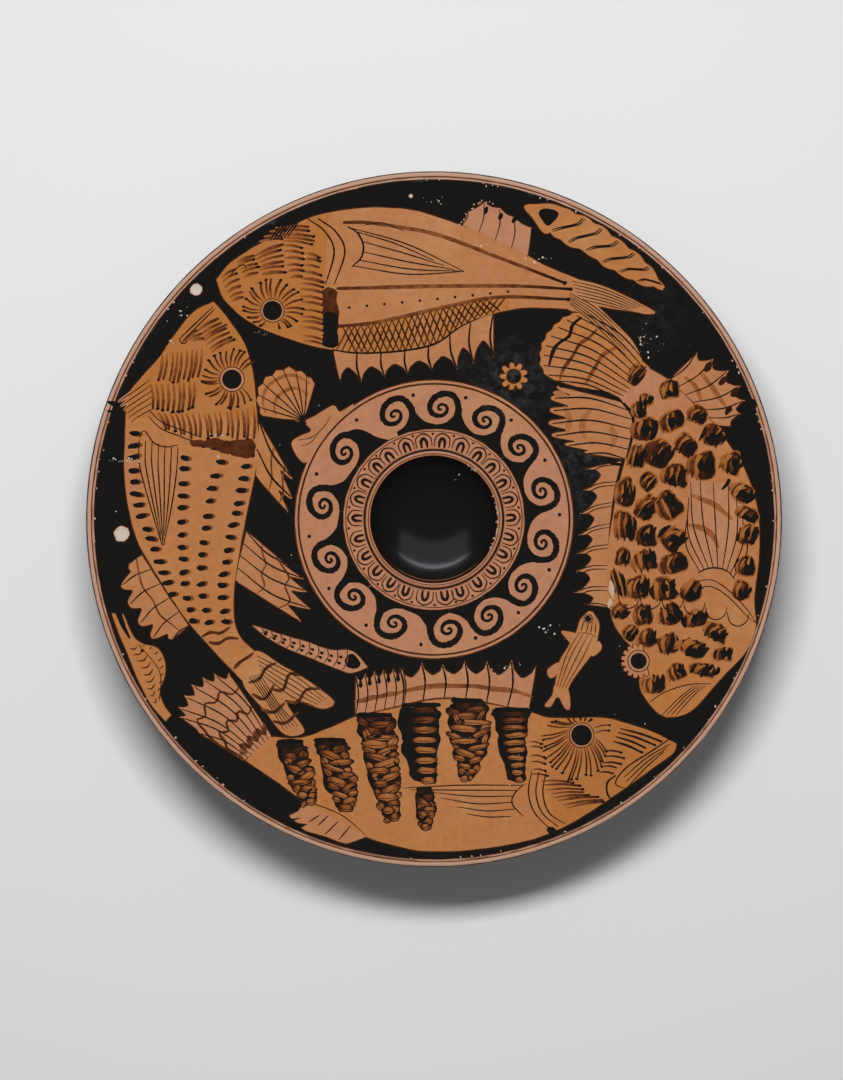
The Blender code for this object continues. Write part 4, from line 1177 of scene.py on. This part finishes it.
def paintCorners(flat, faces):
    # slip, wash and chip for the three corners of every triangle
    centre = flat[faces].mean(axis=1)
    order = np.argsort(centre[:, 0])
    sortedX = centre[order, 0]
    top = {name: np.zeros(len(faces), int) for name in ("slip", "wash", "chip")}
    for index, stroke in enumerate(painting):
        lowest, highest = stroke["edge"].min(0), stroke["edge"].max(0)
        near = order[np.searchsorted(sortedX, lowest[0]):np.searchsorted(sortedX, highest[0])]
        near = near[(centre[near, 1] > lowest[1]) & (centre[near, 1] < highest[1])]
        if not len(near):
            continue
        inside = near[covered(stroke["edge"], centre[near])]
        for name in top:
            if stroke[name] is not None:
                top[name][inside] = index
        if stroke["slip"] is not None and stroke["chip"] is None:
            top["chip"][inside] = 0
    corners = {}
    for name, pick in top.items():
        value = np.zeros((len(faces), 3))
        for index in np.unique(pick):
            tones = np.atleast_1d(painting[index][name])
            mine = np.nonzero(pick == index)[0]
            if len(tones) == 1:
                value[mine] = tones[0]
                continue
            line = painting[index]["along"]
            spots = flat[faces[mine]].reshape(-1, 2)
            nearest = np.argmin(((spots[:, None] - line[None]) ** 2).sum(2), axis=1)
            share = nearest / (len(line) - 1)
            value[mine] = np.interp(share, np.linspace(0, 1, len(tones)), tones).reshape(-1, 3)
        corners[name] = value.ravel()
    return corners


def raised(flat):
    radius = np.linalg.norm(flat, axis=1)
    profile = np.array(topProfile())
    height = np.interp(radius, profile[:, 0], profile[:, 1])
    onFloor = (radius > floorInnerR) & (radius < floorOuterR)
    height[onFloor] = floorZ(radius[onFloor])
    for spot, size, depth in losses["spalls"]:
        away = np.linalg.norm(flat - np.array(spot), axis=1) / size
        height -= depth * np.clip(1.15 - away, 0, 0.6) / 0.6
    return np.column_stack([flat, height]) * mm


flat, faces = cutPainting()
corners = paintCorners(flat, faces)
face = bpy.data.meshes.new("paintedFace")
face.from_pydata(raised(flat).tolist(), [], faces.tolist())
for name, value in corners.items():
    face.attributes.new(name, "FLOAT", "CORNER").data.foreach_set("value", value.astype(np.float32))
fishPlate = bpy.data.objects.new("fishPlate", face)
bpy.context.scene.collection.objects.link(fishPlate)
print("face cut into", len(faces), "triangles")


# Nodes

def toLinear(hexColour):
    def channel(c):
        return c / 12.92 if c <= 0.04045 else ((c + 0.055) / 1.055) ** 2.4
    return tuple(channel(int(hexColour[k:k + 2], 16) / 255) for k in (1, 3, 5)) + (1.0,)


def addNode(tree, kind, settings=None, **links):
    # settings that name a socket set its value, the rest are the node's own; links join sockets by name
    node = tree.nodes.new(kind)
    for name, value in (settings or {}).items():
        if isinstance(name, int) or name in node.inputs:
            node.inputs[name].default_value = value
        else:
            setattr(node, name, value)
    for name, source in links.items():
        key = int(name[1:]) if name[1:].isdigit() else name.replace("_", " ")
        tree.links.new(source, node.inputs[key])
    return node


def mathsIn(tree, clampSums=False):
    # a short way to add Math nodes to one tree; a source is a number or another node's socket
    def maths(operation, *sources):
        clamp = clampSums and operation == "ADD"
        node = addNode(tree, "ShaderNodeMath", {"operation": operation, "use_clamp": clamp})
        for index, source in enumerate(sources):
            if isinstance(source, (int, float)):
                node.inputs[index].default_value = source
            else:
                tree.links.new(source, node.inputs[index])
        return node.outputs[0]

    return maths


# The wheel: the hidden side is turned from its profile, joined to the face, and given the hand's small wander

turning = {
    "Wobble": 0.25 * mm, "Wobble Size": 90 * mm, "Ring Depth": 0.012 * mm,
    "Ring Spacing": 4.2 * mm, "Seed": 5,
}
axisRadius = 1.0  # the circle that Curve to Mesh follows; the profile is drawn outside it


def profileCurve():
    curve = bpy.data.curves.new("ribProfile", "CURVE")
    curve.dimensions = "3D"
    points = hiddenProfile()
    spline = curve.splines.new("POLY")
    spline.points.add(len(points) - 1)
    for point, (radius, height) in zip(spline.points, points):
        point.co = ((max(radius, 0.0) - axisRadius) * mm, -height * mm, 0.0, 1.0)
    rib = bpy.data.objects.new("ribProfile", curve)
    bpy.context.scene.collection.objects.link(rib)
    return rib


def turningTree():
    tree = bpy.data.node_groups.new("turnedPlate", "GeometryNodeTree")
    sockets = [("Geometry", "Geometry"), ("Profile", "Object"), ("Steps", "Int"), ("Wobble", "Float"),
               ("Wobble Size", "Float"), ("Ring Depth", "Float"), ("Ring Spacing", "Float"), ("Seed", "Int"),
               ("Pottery", "Material")]
    for name, kind in sockets:
        tree.interface.new_socket(name, in_out="INPUT", socket_type="NodeSocket" + kind)
    tree.interface.new_socket("Geometry", in_out="OUTPUT", socket_type="NodeSocketGeometry")
    given = addNode(tree, "NodeGroupInput").outputs
    rib = addNode(tree, "GeometryNodeObjectInfo", Object=given["Profile"])
    wheel = addNode(tree, "GeometryNodeCurvePrimitiveCircle", {"Radius": axisRadius * mm},
                    Resolution=given["Steps"])
    turned = addNode(tree, "GeometryNodeCurveToMesh", Curve=wheel.outputs["Curve"],
                     Profile_Curve=rib.outputs["Geometry"])
    joined = addNode(tree, "GeometryNodeJoinGeometry")
    tree.links.new(turned.outputs[0], joined.inputs[0])
    tree.links.new(given["Geometry"], joined.inputs[0])
    # only the bead's outermost line and the two poles are welded, so that no painted edge is lost
    place = addNode(tree, "GeometryNodeInputPosition")
    xyz = addNode(tree, "ShaderNodeSeparateXYZ", Vector=place.outputs[0])
    level = addNode(tree, "ShaderNodeCombineXYZ", X=xyz.outputs["X"], Y=xyz.outputs["Y"])
    radius = addNode(tree, "ShaderNodeVectorMath", {"operation": "LENGTH"},
                     i0=level.outputs[0]).outputs["Value"]
    maths = mathsIn(tree)
    outermost = maths("GREATER_THAN", radius, (rollEdgeR - 0.01) * mm)
    onTop = maths("GREATER_THAN", xyz.outputs["Z"], (bead[1] - 0.01) * mm)
    atPole = maths("LESS_THAN", radius, 0.01 * mm)
    chosen = maths("ADD", maths("MULTIPLY", outermost, onTop), atPole)
    welded = addNode(tree, "GeometryNodeMergeByDistance", {"Distance": 0.005 * mm},
                     Geometry=joined.outputs[0], Selection=chosen)
    # wander: the wall draws in towards the axis here and there, never outwards, so the size holds
    grain = maths("DIVIDE", 1.0, given["Wobble Size"])
    field = addNode(tree, "ShaderNodeTexNoise", {"noise_dimensions": "4D", "Detail": 1.0},
                    Vector=place.outputs[0], W=given["Seed"], Scale=grain)
    inwards = maths("MULTIPLY", maths("DIVIDE", given["Wobble"], radius), field.outputs[0])
    drawn = addNode(tree, "ShaderNodeVectorMath", {"operation": "SCALE"}, i0=level.outputs[0],
                    Scale=maths("MULTIPLY", inwards, -1.0))
    # throwing rings: shallow circles left by the fingers, on the floor and beneath it
    angle = maths("MULTIPLY", maths("DIVIDE", radius, given["Ring Spacing"]), 2 * math.pi)
    within = maths("LESS_THAN", radius, (floorOuterR - 1.5) * mm)
    aboveFoot = maths("GREATER_THAN", xyz.outputs["Z"], s["footEdgeHeight"] * mm)
    depth = maths("MULTIPLY", maths("SINE", angle), given["Ring Depth"])
    lift = maths("MULTIPLY", depth, maths("MULTIPLY", within, aboveFoot))
    upward = addNode(tree, "ShaderNodeCombineXYZ", Z=lift)
    moved = addNode(tree, "ShaderNodeVectorMath", {"operation": "ADD"}, i0=drawn.outputs[0],
                    i1=upward.outputs[0])
    clay = addNode(tree, "GeometryNodeSetPosition", Geometry=welded.outputs[0], Offset=moved.outputs[0])
    smoothed = addNode(tree, "GeometryNodeSetShadeSmooth", Geometry=clay.outputs[0])
    real = addNode(tree, "GeometryNodeRealizeInstances", Geometry=smoothed.outputs[0])
    fired = addNode(tree, "GeometryNodeSetMaterial", Geometry=real.outputs[0], Material=given["Pottery"])
    tree.links.new(fired.outputs[0], addNode(tree, "NodeGroupOutput").inputs[0])
    return tree


# Red-figure pottery: fine iron-rich clay, burnished, painted with slip and fired to clay red and black gloss.
# The gloss is a thin smooth skin with a soft shine; the bare clay is matt; thin slip fires honey to brown.

potteryLook = {
    "clayPink": "#B98060", "clayGold": "#B77335", "clayPale": "#C4976F", "honey": "#94531C",
    "brown": "#653213",
    "darkBrown": "#311A0E", "black": "#1A1917", "bloom": "#3C3D42", "chip": "#CFC3B4",
    "clayRough": 0.6, "glossRough": 0.21, "glossIOR": 1.5,
    # sizes of the patterns in millimetres
    "patchSize": 38.0, "streakSize": 3.2, "grainSize": 0.7, "cloudSize": 4.3, "unevenSize": 5.5,
    "ringMarks": 1.3, "ringDrift": 30, "bumpDepth": 0.02, "bump": 0.3,
}


def potteryMaterial():
    look = potteryLook
    material = bpy.data.materials.new("redFigurePotteryThrownAndBurnished")
    material.use_nodes = True
    tree = material.node_tree
    shader = tree.nodes["Principled BSDF"]
    place = addNode(tree, "ShaderNodeTexCoord").outputs["Object"]
    maths, unclamped = mathsIn(tree, clampSums=True), mathsIn(tree)

    def fill(node, sources):
        # a source is a colour's name, a number or another node's socket
        for index, source in sources.items():
            if isinstance(source, str):
                node.inputs[index].default_value = toLinear(look[source])
            elif isinstance(source, (int, float)):
                node.inputs[index].default_value = source
            else:
                tree.links.new(source, node.inputs[index])

    def mixed(share, a, b, kind="MIX"):
        node = addNode(tree, "ShaderNodeMix", {"data_type": "RGBA", "blend_type": kind})
        fill(node, {0: share, 6: a, 7: b})
        return node.outputs[2]

    def grainOf(size, detail=3.0, rough=0.55):
        # size is the real size of the pattern in millimetres
        return addNode(tree, "ShaderNodeTexNoise", {"Scale": 1000.0 / size, "Detail": detail,
                                                    "Roughness": rough}, Vector=place).outputs["Fac"]

    def ramp(source, *stops):
        node = addNode(tree, "ShaderNodeValToRGB", Fac=source)
        for index, (at, tone) in enumerate(stops):
            element = node.color_ramp.elements[index] if index < 2 else node.color_ramp.elements.new(at)
            element.position = at
            element.color = toLinear(look[tone]) if isinstance(tone, str) else (tone,) * 3 + (1.0,)
        return node.outputs["Color"]

    slip, wash, chip, bloom = (addNode(tree, "ShaderNodeAttribute", {"attribute_name": name}).outputs["Fac"]
                               for name in ("slip", "wash", "chip", "bloom"))
    patches, streaks = grainOf(look["patchSize"]), grainOf(look["streakSize"], 4.0)
    fine = grainOf(look["grainSize"], 2.0)
    # clay: pinker on the ring and lip, gold where a wash lies over the figures, in soft patches
    gold = maths("ADD", wash, maths("MULTIPLY", maths("SUBTRACT", patches, 0.5), 0.9))
    clay = mixed(ramp(patches, (0.52, 0.0), (0.74, 0.4)), mixed(gold, "clayPink", "clayGold"), "clayPale")
    clay = mixed(0.75, clay, ramp(streaks, (0.25, 0.84), (0.75, 1.1)), "MULTIPLY")
    # slip: its thickness wanders, so brown strokes run from honey to near black along the brush
    thin = maths("MULTIPLY", slip, maths("SUBTRACT", 1.0, slip))
    wander = maths("MULTIPLY", maths("SUBTRACT", streaks, 0.5), maths("MULTIPLY", thin, 2.0))
    thick = maths("ADD", slip, wander)
    tone = ramp(thick, (0.0, "honey"), (1.0, "black"), (0.32, "honey"), (0.55, "brown"), (0.78, "darkBrown"),
                (0.95, "black"))
    painted = mixed(ramp(thick, (0.0, 0.0), (0.6, 1.0), (0.1, 0.15), (0.35, 0.78)), clay, tone)
    # the black turned grey where the kiln's air reached it, in cloudy patches
    cloud = ramp(grainOf(look["cloudSize"], 5.0, 0.7), (0.45, 0.0), (0.68, 0.9))
    haze = maths("MULTIPLY", maths("MULTIPLY", bloom, cloud), maths("GREATER_THAN", thick, 0.9))
    wearAndBrimHighlight = mixed(0.5, "chip", ramp(fine, (0.3, 0.75), (0.7, 1.1)), "MULTIPLY")
    tree.links.new(mixed(chip, mixed(haze, painted, "bloom"), wearAndBrimHighlight), shader.inputs["Base Color"])
    # roughness follows the slip: matt clay, satin brown, glossy black, dull where hazed or chipped
    dull = maths("MULTIPLY", maths("ADD", haze, chip), 0.35)
    gloss = maths("MULTIPLY", thick, look["clayRough"] - look["glossRough"])
    uneven = maths("MULTIPLY", maths("SUBTRACT", grainOf(look["unevenSize"]), 0.5), 0.06)
    rough = maths("ADD", maths("SUBTRACT", look["clayRough"], gloss), maths("ADD", dull, uneven))
    tree.links.new(rough, shader.inputs["Roughness"])
    shader.inputs["IOR"].default_value = look["glossIOR"]
    # relief: the wheel's fine rings and the grain of the clay
    level = addNode(tree, "ShaderNodeVectorMath", {"operation": "MULTIPLY", 1: (1.0, 1.0, 0.0)}, i0=place)
    radius = addNode(tree, "ShaderNodeVectorMath", {"operation": "LENGTH"},
                     i0=level.outputs[0]).outputs["Value"]
    turns = maths("MULTIPLY", radius, 2 * math.pi * 1000 / look["ringMarks"])
    drift = maths("MULTIPLY", grainOf(look["ringDrift"]), 2.5)
    wave = maths("SINE", unclamped("ADD", turns, drift))
    height = addNode(tree, "ShaderNodeMath", {"operation": "MULTIPLY_ADD", 1: 0.3}, i0=wave, i2=fine)
    bump = addNode(tree, "ShaderNodeBump", {"Strength": look["bump"], "Distance": look["bumpDepth"] * mm},
                   Height=height.outputs[0])
    tree.links.new(bump.outputs[0], shader.inputs["Normal"])
    return material


pottery = potteryMaterial()
rib = profileCurve()
wheel = fishPlate.modifiers.new("wheel", "NODES")
wheel.node_group = turningTree()
given = {"Profile": rib, "Steps": s["steps"], "Pottery": pottery, **turning}
for item in wheel.node_group.interface.items_tree:
    if item.in_out == "INPUT" and item.name in given:
        wheel[item.identifier] = given[item.name]
shaped = bpy.data.meshes.new_from_object(fishPlate.evaluated_get(bpy.context.evaluated_depsgraph_get()))
fishPlate.modifiers.remove(wheel)
bpy.data.objects.remove(rib)
shaped.name = "fishPlate"
fishPlate.data = shaped
print("turned and joined:", len(shaped.polygons), "faces")


# The turned parts get their slip by rule, and the whole piece its haze and its flat map

glaze = {
    "bloom": [((34.0, 60.0), 17.0, 1.0), ((63.0, 28.0), 13.0, 0.9), ((60.0, 6.0), 9.0, 0.6),
              ((20.0, 62.0), 6.0, 0.5), ((14.0, 68.0), 5.0, 0.6), ((-62.0, -30.0), 10.0, 0.35),
              ((96.0, 88.0), 14.0, 0.3)],
    "faceDepth": 1.5,  # a face that lies deeper than this under the painted side is a hidden one
    "mapFace": (0.41, 0.8), "mapStrip": (0.83, 0.16),  # middle and width of the face's map, start and width
}


def glazePlate(mesh):
    sheet = bmesh.new()
    sheet.from_mesh(mesh)
    bmesh.ops.recalc_face_normals(sheet, faces=sheet.faces)
    print("open edges:", sum(len(edge.link_faces) != 2 for edge in sheet.edges))
    sheet.to_mesh(mesh)
    sheet.free()
    spots = np.zeros(len(mesh.vertices) * 3)
    mesh.vertices.foreach_get("co", spots)
    spots = spots.reshape(-1, 3) / mm
    corner = np.zeros(len(mesh.loops), int)
    mesh.loops.foreach_get("vertex_index", corner)
    totals = np.zeros(len(mesh.polygons), int)
    mesh.polygons.foreach_get("loop_total", totals)
    owner = np.repeat(np.arange(len(totals)), totals)
    at = spots[corner]
    faceAt = np.column_stack([np.bincount(owner, at[:, k]) / totals for k in range(3)])
    radius = np.hypot(faceAt[:, 0], faceAt[:, 1])
    slope = np.interp(radius, *np.array(topProfile()).T)
    hidden = (faceAt[:, 2] < slope - glaze["faceDepth"]) | (radius > rollEdgeR - 0.02)
    slip = np.zeros(len(corner))
    mesh.attributes["slip"].data.foreach_get("value", slip)
    bloom = np.zeros(len(spots))
    for spot, size, strength in glaze["bloom"]:
        away = np.linalg.norm(spots[:, :2] - np.array(spot), axis=1) / size
        bloom = np.maximum(bloom, strength * np.clip(1.3 - away, 0, 1))
    mesh.attributes.new("bloom", "FLOAT", "POINT").data.foreach_set("value", bloom.astype(np.float32))
    # map: the face as one large island from above, the rest unrolled into a strip beside it
    around = np.arctan2(at[:, 1], at[:, 0]) / (2 * math.pi) % 1.0
    middle = np.arctan2(faceAt[:, 1], faceAt[:, 0])[owner] / (2 * math.pi) % 1.0
    around += np.round(middle - around)
    profile = np.array(hiddenProfile())
    gone = np.concatenate([[0], np.cumsum(np.linalg.norm(np.diff(profile, axis=0), axis=1))])
    atR = np.hypot(at[:, 0], at[:, 1])
    nearest = np.zeros(len(at), int)
    mine = np.nonzero(hidden[owner])[0]
    for start in range(0, len(mine), 20000):
        part = mine[start:start + 20000]
        away = (atR[part, None] - profile[None, :,
                                          0]) ** 2 + (at[part, 2][:, None] - profile[None, :, 1]) ** 2
        nearest[part] = np.argmin(away, axis=1)
    # the hollow of the foot and the ring it stands on are bare clay, the rest of the hidden side is black
    restAt = int(np.argmin(np.abs(profile[:, 1]) + np.abs(profile[:, 0] - restOuterR + s["restWidth"])))
    bare = (nearest >= restAt) | (faceAt[:, 2] < 0.05)[owner]
    slip = np.where(hidden[owner], np.where(bare, 0.0, 1.0), slip)
    mesh.attributes["slip"].data.foreach_set("value", slip.astype(np.float32))
    across = gone[nearest] / gone[-1]
    middleAt, width = glaze["mapFace"]
    flatMap = middleAt + at[:, :2] / (2 * s["radius"]) * width
    startAt, width = glaze["mapStrip"]
    strip = np.column_stack([startAt + across * width, 0.01 + 0.97 * np.clip(around, -0.005, 1.005)])
    uv = np.where(hidden[owner][:, None], strip, flatMap)
    mesh.uv_layers.new(name="OFBake").data.foreach_set("uv", uv.astype(np.float32).ravel())
    print("glazed; hidden faces", int(hidden.sum()), "of", len(totals))


glazePlate(fishPlate.data)


# Studio: a pale floor, a soft light above the far side, a low white card there, the camera straight above

studio = {
    "cameraHeight": 1.566, "cameraAt": (-5.36 * mm, -8.9 * mm), "lens": 116.7, "sensor": 36.0,
    "key": ((-0.05, 0.32, 1.2), (0.42, 0.16), 12.0, "#FFFFFF"),
    "card": ((0.0, 1.1, 0.33), (2.2, 0.14), 6.0, "#EDF2FF"),
    "glow": ((0.0, 0.9, 0.95), (2.6, 1.3), 6.0, "#EDF2FF"), "world": 0.15, "floorColour": "#EFEFEF",
    "floorSize": 12.0,
}


def softLight(name, at, size, power, colour):
    light = bpy.data.lights.new(name, "AREA")
    light.shape = "RECTANGLE"
    light.size, light.size_y = size
    light.energy = power
    light.color = toLinear(colour)[:3]
    lamp = bpy.data.objects.new(name, light)
    lamp.location = at
    lamp.rotation_euler = (-Vector(at)).to_track_quat("-Z", "Y").to_euler()
    bpy.context.scene.collection.objects.link(lamp)
    return lamp


def setStudio():
    camera = bpy.data.cameras.new("camera")
    camera.sensor_fit = "VERTICAL"
    camera.sensor_height = camera.sensor_width = studio["sensor"]
    camera.lens = studio["lens"]
    above = bpy.data.objects.new("camera", camera)
    above.location = (*studio["cameraAt"], studio["cameraHeight"])
    bpy.context.scene.collection.objects.link(above)
    bpy.context.scene.camera = above
    # the key lights the piece from near overhead; only the two cards are seen mirrored in the gloss
    softLight("key", *studio["key"]).visible_glossy = False
    for card in ("card", "glow"):
        softLight(card, *studio[card]).visible_diffuse = False
    world = bpy.data.worlds.new("room")
    world.use_nodes = True
    world.node_tree.nodes["Background"].inputs["Color"].default_value = (studio["world"],) * 3 + (1.0,)
    world.cycles_visibility.glossy = False
    bpy.context.scene.world = world
    # matt paper: no pattern of its own, so that only the plate's shadow lies on it
    paper = bpy.data.materials.new("mattPaperSweep")
    paper.use_nodes = True
    sheet = paper.node_tree.nodes["Principled BSDF"]
    sheet.inputs["Base Color"].default_value = toLinear(studio["floorColour"])
    sheet.inputs["Roughness"].default_value = 0.9
    sheet.inputs["Specular IOR Level"].default_value = 0.0
    ground = bpy.data.meshes.new("floor")
    half = studio["floorSize"] / 2
    ground.from_pydata([(-half, -half, 0), (half, -half, 0), (half, half, 0), (-half, half, 0)], [],
                       [(0, 1, 2, 3)])
    ground.materials.append(paper)
    floor = bpy.data.objects.new("floor", ground)
    bpy.context.scene.collection.objects.link(floor)
    bpy.context.scene.view_settings.view_transform = "Standard"


setStudio()
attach(fishPlate, "root")
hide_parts("fish_plate")
